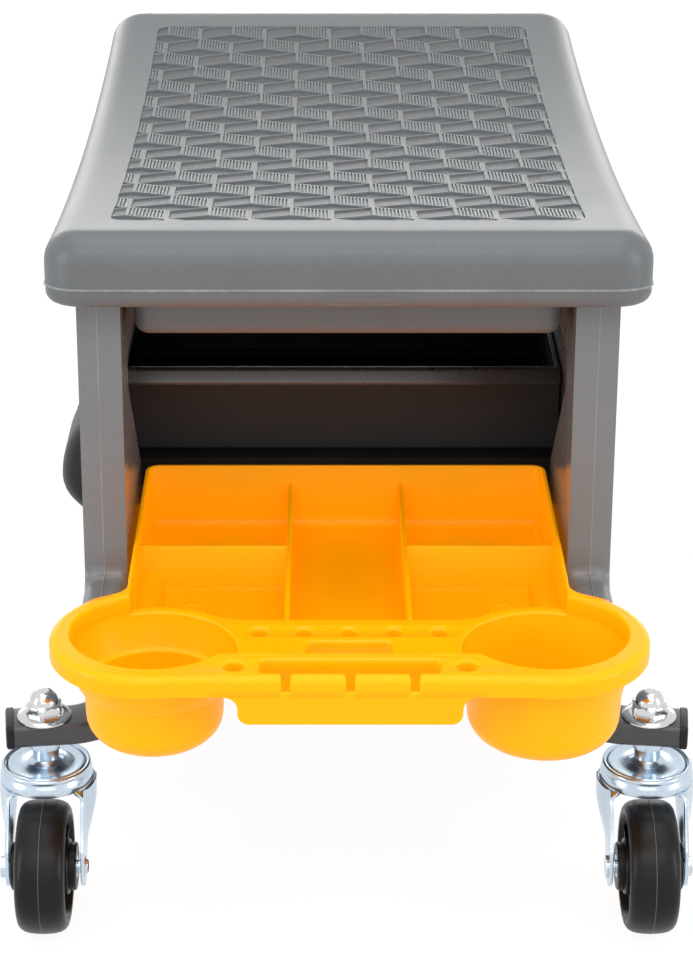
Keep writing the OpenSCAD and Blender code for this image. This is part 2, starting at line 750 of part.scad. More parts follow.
module drawer_pull() color([0.09, 0.09, 0.09]) difference() {
    translate([-drawer_front_x, 0, pull_low_h]) mirror([1, 0, 0]) difference() {
        intersection() {
            translate([0, pull_w / 2, 0]) rotate([90, 0, 0]) linear_extrude(pull_w) pull_profile(0);
            linear_extrude(pull_h) pull_plan(0);
        }
        difference() {
            intersection() {
                translate([0, pull_w / 2, 0]) rotate([90, 0, 0]) linear_extrude(pull_w)
                    pull_profile(pull_wall);
                linear_extrude(pull_h) pull_plan(pull_wall);
            }
            translate([0, -pull_w / 2, 0]) cube([pull_wall, pull_w, pull_h]);
        }
        translate([pull_wall, -pull_w / 2 + pull_mouth_r, -overrun])
            cube([pull_reach - pull_wall - pull_mouth_r, pull_w - 2 * pull_mouth_r, pull_foot_r]);
    }
    for (end = [-1, 1]) translate([0, end * (pull_w / 2 - boss_r), pull_screw_z])
        rod_x(-drawer_front_x - pull_wall - overrun, -drawer_front_x + overrun, tab_screw_r);
}

module pull_screws() color([0.75, 0.76, 0.78]) for (end = [-1, 1])
    translate([0, end * (pull_w / 2 - boss_r), pull_screw_z]) {
        rod_x(-drawer_front_x - pull_wall, -drawer_front_x + front_plate + overrun, tab_screw_r);
        rod_x(-drawer_front_x + front_plate, -drawer_front_x + front_plate + tab_screw_head_h,
            tab_screw_head_r);
    }

// Plan of the tray's front end, drawn in the negative Y direction
module tray_plan(inset) {
    front = tray_front_y - inset;
    translate([-tray_x + inset, -front + lobe_r / 2])
        square([2 * (tray_x - inset), front - lobe_r / 2 - tray_back_y - inset]);
    translate([-cup_x, -front]) square([2 * cup_x, lobe_r]);
    for (side = [-1, 1]) {
        translate([side * cup_x, -cup_y]) circle(lobe_r - inset);
    }
}

// Everything in front of the compartments, seen from above
module front_end_only() {
    translate([-seat_w, -tray_front_y - lobe_r]) square([2 * seat_w,
        tray_front_y + lobe_r - bay_front_y + tray_wall]);
}

// The ledged cup holder: a wide mouth that narrows to a ledge over a smaller well
module ledged_cup_profile(inset) {
    mouth = cup_mouth_r + tray_wall - inset;
    well = cup_well_r + tray_wall - inset;
    low = inset - cup_depth;
    bend = cup_bend_r - inset;
    step_z = inset - cup_ledge_depth;
    polygon([[0, inset > 0 ? overrun : 0], [mouth, inset > 0 ? overrun : 0],
        [mouth - cup_draft / 2, inset - skirt_h / 2], [well + 2 * cup_draft, step_z + cup_draft],
        [well, step_z - cup_draft], [well - cup_draft / 2, low + bend], [0, low + bend]]);
    cup_foot(well - cup_draft / 2, low, bend);
}

// The straight cup holder, tapering a little to its foot
module straight_cup_profile(inset) {
    mouth = cup_mouth_r + tray_wall - inset;
    foot = cup_foot_r + tray_wall - inset;
    low = inset - cup_depth;
    bend = cup_bend_r - inset;
    polygon([[0, inset > 0 ? overrun : 0], [mouth, inset > 0 ? overrun : 0],
        [mouth - cup_draft, inset - skirt_h],
        [foot + cup_draft / 2, inset - cup_ledge_depth], [foot, low + bend], [0, low + bend]]);
    cup_foot(foot, low, bend);
}

// Rounded foot shared by both cup holders
module cup_foot(r, low, bend) {
    translate([0, low]) square([r - bend, bend + cup_draft]);
    intersection() {
        translate([r - bend, low + bend]) circle(bend);
        translate([0, low]) square([r, bend]);
    }
}

module cup(inset, side) {
    translate([side * cup_x, -cup_y, tray_rim_h]) rotate_extrude() {
        if (side < 0) ledged_cup_profile(inset);
        else straight_cup_profile(inset);
    }
}

// The compartments: a tub with one middle bay and two split side bays
module tray_bays() {
    in_x = tray_x - tray_wall;
    difference() {
        block([-tray_x, -bay_front_y - tray_wall, tray_floor_h - tray_wall],
            [tray_x, -tray_back_y, tray_rim_h]);
        difference() {
            block([-in_x, -bay_front_y, tray_floor_h],
                [in_x, -tray_back_y - tray_wall, tray_rim_h + overrun]);
            for (side = [-1, 1]) {
                block([side * divider_x - tray_wall / 2, -bay_front_y, tray_floor_h - overrun],
                    [side * divider_x + tray_wall / 2, -tray_back_y, deck_h]);
                block([min(side * divider_x, side * tray_x), -divider_y - tray_wall,
                    tray_floor_h - overrun],
                    [max(side * divider_x, side * tray_x), -divider_y, deck_h]);
                translate([side * peg_x, -peg_y, tray_floor_h - overrun])
                    cylinder(h = peg_h + overrun, r = peg_r);
            }
        }
        block([-in_x, -bay_front_y - 2 * tray_wall, deck_h],
            [in_x, -bay_front_y + overrun, tray_rim_h + overrun]);
    }
}

// Deck, raised front strip, rim, skirt and front lip
module tray_front_end() {
    in_x = tray_x - tray_wall;
    difference() {
        union() {
            translate([0, 0, tray_rim_h - tray_wall]) linear_extrude(tray_wall) intersection() {
                tray_plan(0);
                front_end_only();
            }
            translate([0, 0, tray_rim_h - skirt_h]) linear_extrude(skirt_h) difference() {
                intersection() {
                    tray_plan(0);
                    front_end_only();
                }
                tray_plan(tray_wall);
            }
            block([-lip_x, -tray_front_y, lip_low_h], [lip_x, -tray_front_y + tray_wall, tray_rim_h]);
            both_sides() block([lip_x - tray_wall, -tray_front_y, lip_low_h],
                [lip_x, 3 * tray_wall - tray_front_y, tray_rim_h]);
            block([-tray_x, -strip_back_y - tray_wall, deck_h - tray_wall],
                [tray_x, -bay_front_y - tray_wall, deck_h]);
            both_sides() block([in_x, -strip_back_y, deck_h - tray_wall],
                [tray_x, -bay_front_y, tray_rim_h]);
            block([-strip_x, -strip_back_y - tray_wall, deck_h - tray_wall],
                [strip_x, -strip_back_y, tray_rim_h]);
        }
        block([-in_x, -strip_back_y, deck_h], [in_x, -bay_front_y + 2 * tray_wall, tray_rim_h + overrun]);
    }
}

// Slots, notches and tool holes through the deck and the strip
module tray_holes() {
    for (i = [-2:2]) translate([i * tip_hole_pitch, -tip_hole_y, deck_h - 2 * tray_wall])
        cylinder(h = 3 * tray_wall, r = tip_hole_r);
    both_sides() translate([tool_hole_x, -tool_hole_y, tray_rim_h - 2 * tray_wall])
        cylinder(h = 3 * tray_wall, r = tool_hole_r);
    translate([0, -short_slot_y, deck_h - 2 * tray_wall]) linear_extrude(3 * tray_wall)
        rounded_rect(short_slot, short_slot.y / 4);
    translate([0, -long_slot_y, tray_rim_h - 2 * tray_wall]) linear_extrude(3 * tray_wall)
        rounded_rect(long_slot, long_slot.y / 6);
    for (i = [-1:1]) block([i * notch_pitch - notch_w / 2, -tray_front_y - overrun, tray_rim_h - notch_h],
        [i * notch_pitch + notch_w / 2, -long_slot_y, tray_rim_h + overrun]);
}

module tool_tray() {
    difference() {
        union() {
            tray_bays();
            tray_front_end();
            difference() {
                for (side = [-1, 1]) cup(0, side);
                block([-tray_x + tray_wall, -strip_back_y, deck_h],
                    [tray_x - tray_wall, -bay_front_y + 2 * lobe_r, tray_rim_h + overrun]);
            }
            both_sides() block([tray_x - overrun, -tongue_front_y, tongue_low_h],
                [tray_x + tongue_w, -tray_back_y - tray_wall, tongue_low_h + tongue_h]);
        }
        for (side = [-1, 1]) cup(tray_wall, side);
        tray_holes();
    }
}

module front_tray() color([1, 0.72, 0.05]) tool_tray();

module rear_tray() color([1, 0.72, 0.05]) rotate([0, 0, 180]) tool_tray();

// Places its children on one caster's stem axis, the wheel trailing outward
module at_caster(c) {
    turn = c.z > 0 ? 180 : 0;
    translate([c.y * stem_x, c.z * stem_y, 0]) rotate([0, 0, turn]) children();
}

module at_all_casters() {
    for (c = CASTERS) at_caster(c) children();
}

module caster_stems() color([0.78, 0.82, 0.85]) at_all_casters() {
    translate([0, 0, stem_low_h]) cylinder(h = stem_head_h, r = stem_head_r);
    translate([0, 0, stem_low_h]) cylinder(h = tube_top_h + stem_thread_h - stem_low_h, r = stem_dia / 2);
    translate([0, 0, race_low_h + race_h]) cylinder(h = tube_low_h - race_low_h - race_h, r = collar_r);
}

module caster_upper_races() color([0.78, 0.82, 0.85]) at_all_casters() difference() {
    translate([0, 0, race_low_h]) cylinder(h = race_h, r = race_r);
    translate([0, 0, race_low_h - overrun]) cylinder(h = race_h + 2 * overrun, r = stem_dia / 2 + run_fit);
}

module caster_bearing_balls() color([0.85, 0.86, 0.88]) at_all_casters()
    for (i = [0:ball_count - 1]) rotate([0, 0, i * 360 / ball_count])
        translate([ball_pitch_r, 0, race_low_h - ball_r]) sphere(ball_r, $fn = 24);

module stem_washers() color([0.85, 0.86, 0.88]) at_all_casters()
    translate([0, 0, tube_top_h]) difference() {
        cylinder(h = washer_h, r = washer_r);
        translate([0, 0, -overrun]) cylinder(h = washer_h + 2 * overrun, r = stem_dia / 2 + bolt_fit);
    }

module stem_cap_nuts() color([0.85, 0.86, 0.88]) at_all_casters()
    translate([0, 0, tube_top_h + washer_h]) difference() {
        union() {
            intersection() {
                hexagon(nut_hex_h, nut_hex_r);
                cylinder(h = nut_hex_h, r1 = nut_hex_r + nut_hex_h, r2 = nut_hex_r - nut_chamfer);
            }
            translate([0, 0, nut_hex_h - overrun]) cylinder(h = overrun, r = nut_dome_r);
            intersection() {
                translate([0, 0, nut_hex_h - overrun]) sphere(nut_dome_r);
                translate([0, 0, nut_hex_h - overrun]) cylinder(h = 2 * nut_dome_r, r = nut_dome_r);
            }
        }
        translate([0, 0, -overrun]) cylinder(h = stem_thread_h - washer_h + overrun, r = stem_dia / 2);
    }

// Side view of a fork leg: a wide shoulder narrowing to the axle eye
module leg_outline() {
    top = fork_top_h;
    polygon([[leg_top_d / 2, top], [leg_top_d / 2, top - leg_shoulder_h],
        [-caster_trail + leg_r, axle_h + leg_r / 2],
        [-caster_trail + leg_r, axle_h], [-caster_trail - leg_r, axle_h],
            [-caster_trail - leg_r, axle_h + leg_r],
        [-leg_top_d / 2, top - leg_shoulder_back_h], [-leg_top_d / 2, top]]);
    translate([-caster_trail, axle_h]) circle(leg_r);
}

// Stamped fork with its raised bearing ring
module caster_fork() difference() {
    union() {
        translate([0, 0, fork_top_h - fork_sheet]) cylinder(h = fork_sheet, r = ring_dia / 2);
        translate([0, 0, fork_top_h - overrun]) difference() {
            cylinder(h = ring_h + overrun, r = ring_dia / 2);
            translate([0, 0, -overrun]) cylinder(h = ring_h + 3 * overrun, r = ring_dia / 2 - ring_lip);
        }
        both_sides() translate([fork_in_w / 2, 0, 0]) rotate([90, 0, 90]) linear_extrude(fork_sheet)
            leg_outline();
    }
    translate([0, 0, fork_top_h - 2 * fork_sheet]) cylinder(h = 3 * fork_sheet, r = stem_dia / 2 + run_fit);
    translate([0, -caster_trail, axle_h]) rod_x(-fork_w, fork_w, axle_dia / 2);
}

// Half cross-section of the wheel: x is the radius, y runs along the axle
module wheel_section() {
    tread = axle_h;
    half = wheel_w / 2;
    polygon([[hub_bore_r, -hub_w / 2], [hub_r - hub_chamfer, -hub_w / 2], [hub_r, hub_chamfer - half],
        [hub_r + web_fillet, -web_w / 2], [rim_in_r, -web_w / 2], [rim_in_r + tyre_side, web_fillet - half],
        [tread - tread_shoulder, -half], [tread - tread_edge, tyre_side - half],
        [tread - tread_crown, tread_shoulder - half], [tread, 0], [tread - tread_crown, half - tread_shoulder],
        [tread - tread_edge, half - tyre_side], [tread - tread_shoulder, half],
        [rim_in_r + tyre_side, half - web_fillet], [rim_in_r, web_w / 2], [hub_r + web_fillet, web_w / 2],
        [hub_r, half - hub_chamfer], [hub_r - hub_chamfer, hub_w / 2], [hub_bore_r, hub_w / 2]]);
}

module caster_wheel() translate([0, -caster_trail, axle_h]) rotate([0, 90, 0]) rotate_extrude()
    wheel_section();

module hub_sleeve() translate([0, -caster_trail, axle_h]) difference() {
    rod_x(-hub_w / 2, hub_w / 2, hub_bore_r);
    rod_x(-hub_w, hub_w, axle_dia / 2 + run_fit);
}

module axle_bolt() translate([0, -caster_trail, axle_h]) {
    rod_x(-fork_w / 2 - overrun, fork_w / 2 + axle_head_h, axle_dia / 2);
    rod_x(-fork_w / 2 - axle_head_h, -fork_w / 2, axle_head_r);
}

module axle_nut() translate([fork_w / 2, -caster_trail, axle_h]) rotate([0, 90, 0]) difference() {
    hexagon(axle_head_h + overrun, axle_head_r);
    translate([0, 0, -overrun]) cylinder(h = axle_head_h + 3 * overrun, r = axle_dia / 2);
}

module front_left_fork() color([0.8, 0.85, 0.88]) at_caster(CASTERS[0]) caster_fork();
module front_left_wheel() color([0.16, 0.16, 0.17]) at_caster(CASTERS[0]) caster_wheel();
module front_left_hub_sleeve() color([0.7, 0.72, 0.74]) at_caster(CASTERS[0]) hub_sleeve();
module front_left_axle_bolt() color([0.8, 0.82, 0.84]) at_caster(CASTERS[0]) axle_bolt();
module front_left_axle_nut() color([0.8, 0.82, 0.84]) at_caster(CASTERS[0]) axle_nut();
module front_right_fork() color([0.8, 0.85, 0.88]) at_caster(CASTERS[1]) caster_fork();
module front_right_wheel() color([0.16, 0.16, 0.17]) at_caster(CASTERS[1]) caster_wheel();
module front_right_hub_sleeve() color([0.7, 0.72, 0.74]) at_caster(CASTERS[1]) hub_sleeve();
module front_right_axle_bolt() color([0.8, 0.82, 0.84]) at_caster(CASTERS[1]) axle_bolt();
module front_right_axle_nut() color([0.8, 0.82, 0.84]) at_caster(CASTERS[1]) axle_nut();
module rear_left_fork() color([0.8, 0.85, 0.88]) at_caster(CASTERS[2]) caster_fork();
module rear_left_wheel() color([0.16, 0.16, 0.17]) at_caster(CASTERS[2]) caster_wheel();
module rear_left_hub_sleeve() color([0.7, 0.72, 0.74]) at_caster(CASTERS[2]) hub_sleeve();
module rear_left_axle_bolt() color([0.8, 0.82, 0.84]) at_caster(CASTERS[2]) axle_bolt();
module rear_left_axle_nut() color([0.8, 0.82, 0.84]) at_caster(CASTERS[2]) axle_nut();
module rear_right_fork() color([0.8, 0.85, 0.88]) at_caster(CASTERS[3]) caster_fork();
module rear_right_wheel() color([0.16, 0.16, 0.17]) at_caster(CASTERS[3]) caster_wheel();
module rear_right_hub_sleeve() color([0.7, 0.72, 0.74]) at_caster(CASTERS[3]) hub_sleeve();
module rear_right_axle_bolt() color([0.8, 0.82, 0.84]) at_caster(CASTERS[3]) axle_bolt();
module rear_right_axle_nut() color([0.8, 0.82, 0.84]) at_caster(CASTERS[3]) axle_nut();

seat();
left_panel();
right_panel();
left_side_rail();
right_side_rail();
rail_end_caps();
panel_bolts();
panel_bolt_washers();
seat_screws();
front_drawer_runner();
rear_drawer_runner();
runner_screws();
caster_stems();
caster_upper_races();
caster_bearing_balls();
stem_washers();
stem_cap_nuts();
drawer();
drawer_pull();
pull_screws();
front_tray();
rear_tray();
front_left_fork();
front_left_wheel();
front_left_hub_sleeve();
front_left_axle_bolt();
front_left_axle_nut();
front_right_fork();
front_right_wheel();
front_right_hub_sleeve();
front_right_axle_bolt();
front_right_axle_nut();
rear_left_fork();
rear_left_wheel();
rear_left_hub_sleeve();
rear_left_axle_bolt();
rear_left_axle_nut();
rear_right_fork();
rear_right_wheel();
rear_right_hub_sleeve();
rear_right_axle_bolt();
rear_right_axle_nut();
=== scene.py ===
"""Rolling creeper seat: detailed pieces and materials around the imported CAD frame."""
import math

import bmesh
import bpy
import numpy as np
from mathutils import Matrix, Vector
from mathutils.geometry import delaunay_2d_cdt, tessellate_polygon


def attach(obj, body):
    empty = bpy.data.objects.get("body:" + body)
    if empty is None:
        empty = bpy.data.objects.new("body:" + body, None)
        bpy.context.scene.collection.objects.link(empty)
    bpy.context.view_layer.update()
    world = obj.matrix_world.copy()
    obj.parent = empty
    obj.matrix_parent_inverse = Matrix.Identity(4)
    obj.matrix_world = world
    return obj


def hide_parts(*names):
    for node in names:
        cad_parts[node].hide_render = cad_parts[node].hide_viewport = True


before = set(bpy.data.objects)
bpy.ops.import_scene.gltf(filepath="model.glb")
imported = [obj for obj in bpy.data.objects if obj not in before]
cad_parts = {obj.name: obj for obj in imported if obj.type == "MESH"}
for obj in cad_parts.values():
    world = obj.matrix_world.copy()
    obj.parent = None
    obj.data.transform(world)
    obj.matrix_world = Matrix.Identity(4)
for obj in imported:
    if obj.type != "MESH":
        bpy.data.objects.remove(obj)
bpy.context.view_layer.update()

MM = 0.001

# Sizes in mm, as in the CAD source but for BOX_R, MOUTH and LOBE (7, 42.5 and 55 there)
DISH_R, DISH_Z = 2153.125, 2546.125  # the seat's hollow: its radius and its axis' height
SEAT_HALF, EDGE_R, CORNER_R = (160.0, 262.0), 17, 22
SKIRT = 40  # the seat's underside, below its top
BOX_HALF, BOX_R = (115.5, 227), 9  # the box below the seat
SCREW_Y, SCREW_Z = 175, 348.7  # screws through the panels into that box
PANEL_IN, PANEL_OUT, RECESS_X = 121.25, 144.75, 130.05
PLATE_X = -143.75  # outer face of the drawer's front plate
RIM, DECK, FLOOR = 222.0, 211.0, 184.0  # heights in the trays: flange, deck, bays
CUP_X, CUP_Y, MOUTH, LOBE = 100.5, -338.0, 42.1, 52.0  # front cups: centre, radii of mouth and rim
STEM = (170.0, 239.0)
AXLE = (0, -27, 37.5)  # from the stem's axis, casters at rest


# ---------------------------------------------------------------- mesh tools

STRAIGHT = 2e-3     # sine of a bend below which two edges count as one line
LAND = 0.3          # how far a flat cap starts inside the rounded edge round it
LEAST_R = 0.05      # smallest radius that a rounded corner keeps when inset


def rounded(points, d=0.0, steps=6):
    """Polygon with rounded corners, inset by d. A point is (x, y, r, w): r rounds that corner and
    w is the share of d taken by the edge that follows. A corner sits where its two moved edges
    cross; its arc has radius r - d where convex and r + d where concave."""
    rows = [tuple(p) + (0.0, 1.0)[len(p) - 2:] for p in points]
    pts = np.array([p[:2] for p in rows], float)
    edge = np.roll(pts, -1, 0) - pts
    t = edge / np.hypot(edge[:, 0], edge[:, 1])[:, None]
    turn_sum = np.sum(pts[:, 0] * np.roll(pts[:, 1], -1) - np.roll(pts[:, 0], -1) * pts[:, 1])
    s = 1.0 if turn_sum > 0 else -1.0
    n = s * np.c_[-t[:, 1], t[:, 0]]
    out = []
    for i, (_, _, r, _) in enumerate(rows):
        da, db = d * rows[i - 1][3], d * rows[i][3]
        na, nb, ta, tb = n[i - 1], n[i], t[i - 1], t[i]
        cross = ta[0] * tb[1] - ta[1] * tb[0]
        if abs(cross) < STRAIGHT:
            p = pts[i] + (na * da + nb * db) / 2
        else:
            c = na[0] * nb[1] - na[1] * nb[0]
            p = pts[i] + np.array([da * nb[1] - db * na[1], na[0] * db - nb[0] * da]) / c
        if r <= 0:
            out.append(p)
            continue
        turn = math.atan2(cross, float(ta @ tb))
        rr = max(r - (da + db) / 2, LEAST_R) if turn * s > 0 else r + (da + db) / 2
        start = p - ta * rr * math.tan(abs(turn) / 2)
        centre = start + math.copysign(rr, turn) * np.array([-ta[1], ta[0]])
        for a in np.linspace(0.0, turn, steps + 1):
            v = start - centre
            out.append(centre + np.array([v[0] * math.cos(a) - v[1] * math.sin(a),
                                          v[0] * math.sin(a) + v[1] * math.cos(a)]))
    return np.array(out)


def place(flat, h, axis="z"):
    """2-D points at height h along an axis: z gives (u, v, h), y gives (u, h, v), x gives (h, u, v)."""
    h = np.broadcast_to(h, len(flat))
    u, v = flat[:, 0], flat[:, 1]
    return np.stack({"z": (u, v, h), "y": (u, h, v), "x": (h, u, v)}[axis], 1)


def quarter(n):
    """n angles from 0 to a right angle."""
    return np.linspace(0, math.pi / 2, n)


def roll(top, r, n=6):
    """Levels (height, inset) of an upper edge rounded by r: a quarter circle, from its foot up."""
    return [(top - r * (1 - math.sin(k)), r * (1 - math.cos(k))) for k in quarter(n)]


def edges(low, high, r_low, r_high, n=4):
    """Levels (height, inset) of a plate with rounded edges: quarter circles at both ends."""
    rows = [(low, r_low + LAND)] + [(2 * low - h, d) for h, d in roll(low, r_low, n + 1)[::-1]]
    return rows + roll(high, r_high, n + 1) + [(high, r_high + LAND)]


def box_outline(x0, x1, y0, y1, r=0.0):
    return [(x0, y0, r), (x1, y0, r), (x1, y1, r), (x0, y1, r)]


def circle(n):
    """n points round a circle of radius 1."""
    a = np.linspace(0, 2 * math.pi, n, endpoint=False)
    return np.c_[np.cos(a), np.sin(a)]


def arc(cx, cy, r, a0, a1, n, w=1.0):
    """Points of a circle's arc from a0 to a1 degrees, as corners for rounded()."""
    return [(cx + r * math.cos(k), cy + r * math.sin(k), 0.0, w)
            for k in np.radians(np.linspace(a0, a1, n))]


class Shape:
    """Vertices and faces in mm, collected ring by ring."""

    def __init__(self):
        self.points, self.faces, self.tones, self.count = [], [], [], 0

    def ring(self, points):
        start = self.count
        self.points.append(np.asarray(points, float))
        self.count += len(points)
        return np.arange(start, self.count)

    def add(self, faces, tone=0):
        faces = [tuple(int(k) for k in f) for f in faces]
        self.faces += faces
        self.tones += [tone] * len(faces)

    def skin(self, a, b, closed=True, tone=0):
        """Quads between two rings of the same length."""
        if closed:
            a, b = np.append(a, a[0]), np.append(b, b[0])
        self.add(np.stack([a[:-1], a[1:], b[1:], b[:-1]], 1), tone)

    def loft(self, rings, closed=True, marked=(), tone=1):
        """Skins each ring to the next. The steps listed in marked take this tone, the others 0."""
        for k, (a, b) in enumerate(zip(rings, rings[1:])):
            self.skin(a, b, closed, tone if k in marked else 0)
        return rings

    def wall(self, outline, levels, axis="z", way=1, steps=6, marked=()):
        """Rounded outline at each level (height, inset), skinned; way -1 reads the insets outward."""
        rings = [self.ring(place(rounded(outline, way * d, steps), h, axis)) for h, d in levels]
        return self.loft(rings, marked=marked)

    def bore(self, u, v, levels, axis="z", n=32):
        """Wall of a round hole: a circle about (u, v) at each level (radius, height)."""
        return self.loft([self.ring(place((u, v) + r * circle(n), h, axis)) for r, h in levels])

    def cap(self, loops, axis="z"):
        """Flat face between an outer ring and the rings of its holes."""
        every = np.concatenate(self.points)
        keep = {"z": (0, 1), "y": (0, 2), "x": (1, 2)}[axis]
        flat = [[Vector((every[k][keep[0]], every[k][keep[1]], 0)) for k in loop] for loop in loops]
        index = np.concatenate(loops)
        self.add([[index[k] for k in tri] for tri in tessellate_polygon(flat)])

    def plate(self, outline, levels, axis="z", steps=6):
        """Wall of an outline with a cap at both ends."""
        rings = self.wall(outline, levels, axis, steps=steps)
        self.cap(rings[:1], axis)
        self.cap(rings[-1:], axis)

    def revolve(self, profile, centre=(0, 0, 0), axis="z", n=64, closed=False, marked=()):
        """Profile of (radius, height) turned about an axis; radius 0 closes to a fan by merging."""
        rings = [self.ring(place(r * circle(n), h, axis) + centre) for r, h in profile]
        self.loft(rings + (rings[:1] if closed else []), marked=marked)

    def hexagon(self, rows, corner, axis="z", n=96):
        """Hexagon with this corner radius: its radius by angle, cut by a circle at each level
        (height, limit)."""
        a = np.linspace(0, 2 * math.pi, n, endpoint=False)
        full = corner * math.cos(math.pi / 6) / np.cos((a + math.pi / 6) % (math.pi / 3) - math.pi / 6)
        rings = [self.ring(place(np.minimum(full, limit)[:, None] * circle(n), h, axis)) for h, limit in rows]
        return self.loft(rings)

    def box(self, low, high, r=0.4):
        """Block with rounded edges."""
        self.plate(box_outline(low[0], high[0], low[1], high[1], r), edges(low[2], high[2], r, r, 2), steps=3)

    def box_pair(self, low, high, r=0.4):
        """Block and its mirror image on the other side of x = 0."""
        for sx in (-1, 1):
            x0, x1 = sorted((sx * low[0], sx * high[0]))
            self.box((x0, *low[1:]), (x1, *high[1:]), r)

    def sweep(self, section, path):
        """Section of (side, height) carried along a path in plan, closed at both ends; side points
        to the path's left."""
        path = np.array(path, float)
        t = np.gradient(path, axis=0)
        t /= np.hypot(t[:, 0], t[:, 1])[:, None]
        n = np.c_[-t[:, 1], t[:, 0]]
        section = np.array(section, float)
        rings = self.loft([self.ring(np.c_[p + section[:, :1] * q, section[:, 1]]) for p, q in zip(path, n)])
        self.add([rings[0], rings[-1]])

    def merge(self, other, move=None):
        every = np.concatenate(other.points)
        start = self.count
        self.ring(move(every) if move else every)
        self.faces += [tuple(k + start for k in f) for f in other.faces]
        self.tones += other.tones
        return self


def smooth(me, angle):
    me.polygons.foreach_set("use_smooth", np.ones(len(me.polygons), bool))
    me.set_sharp_from_angle(angle=math.radians(angle))


def mesh_of(name, shape, mats, angle):
    """Mesh in metres: equal points merged, normals outward, edges sharp above the angle."""
    me = bpy.data.meshes.new(name)
    me.from_pydata((np.concatenate(shape.points) * MM).tolist(), [], shape.faces)
    me.polygons.foreach_set("material_index", np.array(shape.tones, np.int32))
    for m in mats:
        me.materials.append(m)
    me.validate()
    bm = bmesh.new()
    bm.from_mesh(me)
    bmesh.ops.remove_doubles(bm, verts=bm.verts, dist=1e-6)
    bmesh.ops.dissolve_degenerate(bm, edges=bm.edges, dist=1e-7)
    bmesh.ops.recalc_face_normals(bm, faces=bm.faces)
    bm.to_mesh(me)
    bm.free()
    smooth(me, angle)
    return me


def in_scene(name, data):
    ob = bpy.data.objects.new(name, data)
    bpy.context.scene.collection.objects.link(ob)
    return ob


def piece(name, shape, body, mats, replaces=(), angle=35, thick=None, bevel=None):
    """Makes the object, sets it riding on its body and gives it its finish."""
    ob = in_scene(name, mesh_of(name, shape, mats if isinstance(mats, list) else [mats], angle))
    if thick:
        mod = ob.modifiers.new("sheet", "SOLIDIFY")
        mod.thickness, mod.offset = thick * MM, -1
    if bevel:
        mod = ob.modifiers.new("edges", "BEVEL")
        mod.width, mod.segments, mod.limit_method = bevel * MM, 2, "ANGLE"
        mod.angle_limit = math.radians(50)
        mod.harden_normals = False
    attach(ob, body)
    if replaces:
        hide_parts(*replaces)
    return ob


def mirror_x(p):
    return p * [-1, 1, 1]


def half_turn(p):
    return p * [-1, -1, 1]


# ----------------------------------------------------------------- materials

def maths(tree, op, *values):
    """Output of a math node: a number sets an input, a socket is linked to it."""
    m = tree.nodes.new("ShaderNodeMath")
    m.operation = op
    for k, v in enumerate(values):
        if isinstance(v, (int, float)):
            m.inputs[k].default_value = v
        else:
            tree.links.new(v, m.inputs[k])
    return m.outputs[0]


def grain_group():
    """Moulded or painted surface: fine grain as bump, a soft cloudiness in colour and a spread of
    roughness, all from noise in object coordinates (metres)."""
    g = bpy.data.node_groups.new("surface_grain", "ShaderNodeTree")
    floats = (("Cloud", 0.06), ("Speck", 0.1), ("Scale", 1500.0), ("Height", 3e-5), ("Rough", 0.4), ("Spread", 0.05))
    g.interface.new_socket("Colour", in_out="INPUT", socket_type="NodeSocketColor").default_value = (0.5, 0.5, 0.5, 1)
    for label, default in floats:
        g.interface.new_socket(label, in_out="INPUT", socket_type="NodeSocketFloat").default_value = default
    for label, kind in (("Colour", "Color"), ("Roughness", "Float"), ("Normal", "Vector")):
        g.interface.new_socket(label, in_out="OUTPUT", socket_type="NodeSocket" + kind)
    n, link = g.nodes, g.links.new
    gi, go = n.new("NodeGroupInput"), n.new("NodeGroupOutput")
    tc = n.new("ShaderNodeTexCoord")
    fine, soft = n.new("ShaderNodeTexNoise"), n.new("ShaderNodeTexNoise")
    fine.inputs["Detail"].default_value = 3
    soft.inputs["Scale"].default_value = 22
    soft.inputs["Detail"].default_value = 4
    link(tc.outputs["Object"], fine.inputs["Vector"])
    link(tc.outputs["Object"], soft.inputs["Vector"])
    link(gi.outputs["Scale"], fine.inputs["Scale"])

    def centred(noise, gain):
        """The noise about zero, times a gain."""
        return maths(g, "MULTIPLY", maths(g, "SUBTRACT", noise.outputs["Fac"], 0.5), gain)

    cloud, speck = (centred(noise, gi.outputs[label]) for noise, label in ((soft, "Cloud"), (fine, "Speck")))
    gain = maths(g, "ADD", maths(g, "ADD", maths(g, "MULTIPLY", cloud, 2), maths(g, "MULTIPLY", speck, 2)), 1)
    tint = n.new("ShaderNodeVectorMath")
    tint.operation = "SCALE"
    link(gi.outputs["Colour"], tint.inputs[0])
    link(gain, tint.inputs["Scale"])
    link(tint.outputs[0], go.inputs["Colour"])
    rough = maths(g, "ADD", centred(soft, gi.outputs["Spread"]), gi.outputs["Rough"])
    link(rough, go.inputs["Roughness"])
    bump = n.new("ShaderNodeBump")
    bump.inputs["Strength"].default_value = 1
    link(gi.outputs["Height"], bump.inputs["Distance"])
    link(fine.outputs["Fac"], bump.inputs["Height"])
    link(bump.outputs["Normal"], go.inputs["Normal"])
    return g


GRAIN = grain_group()


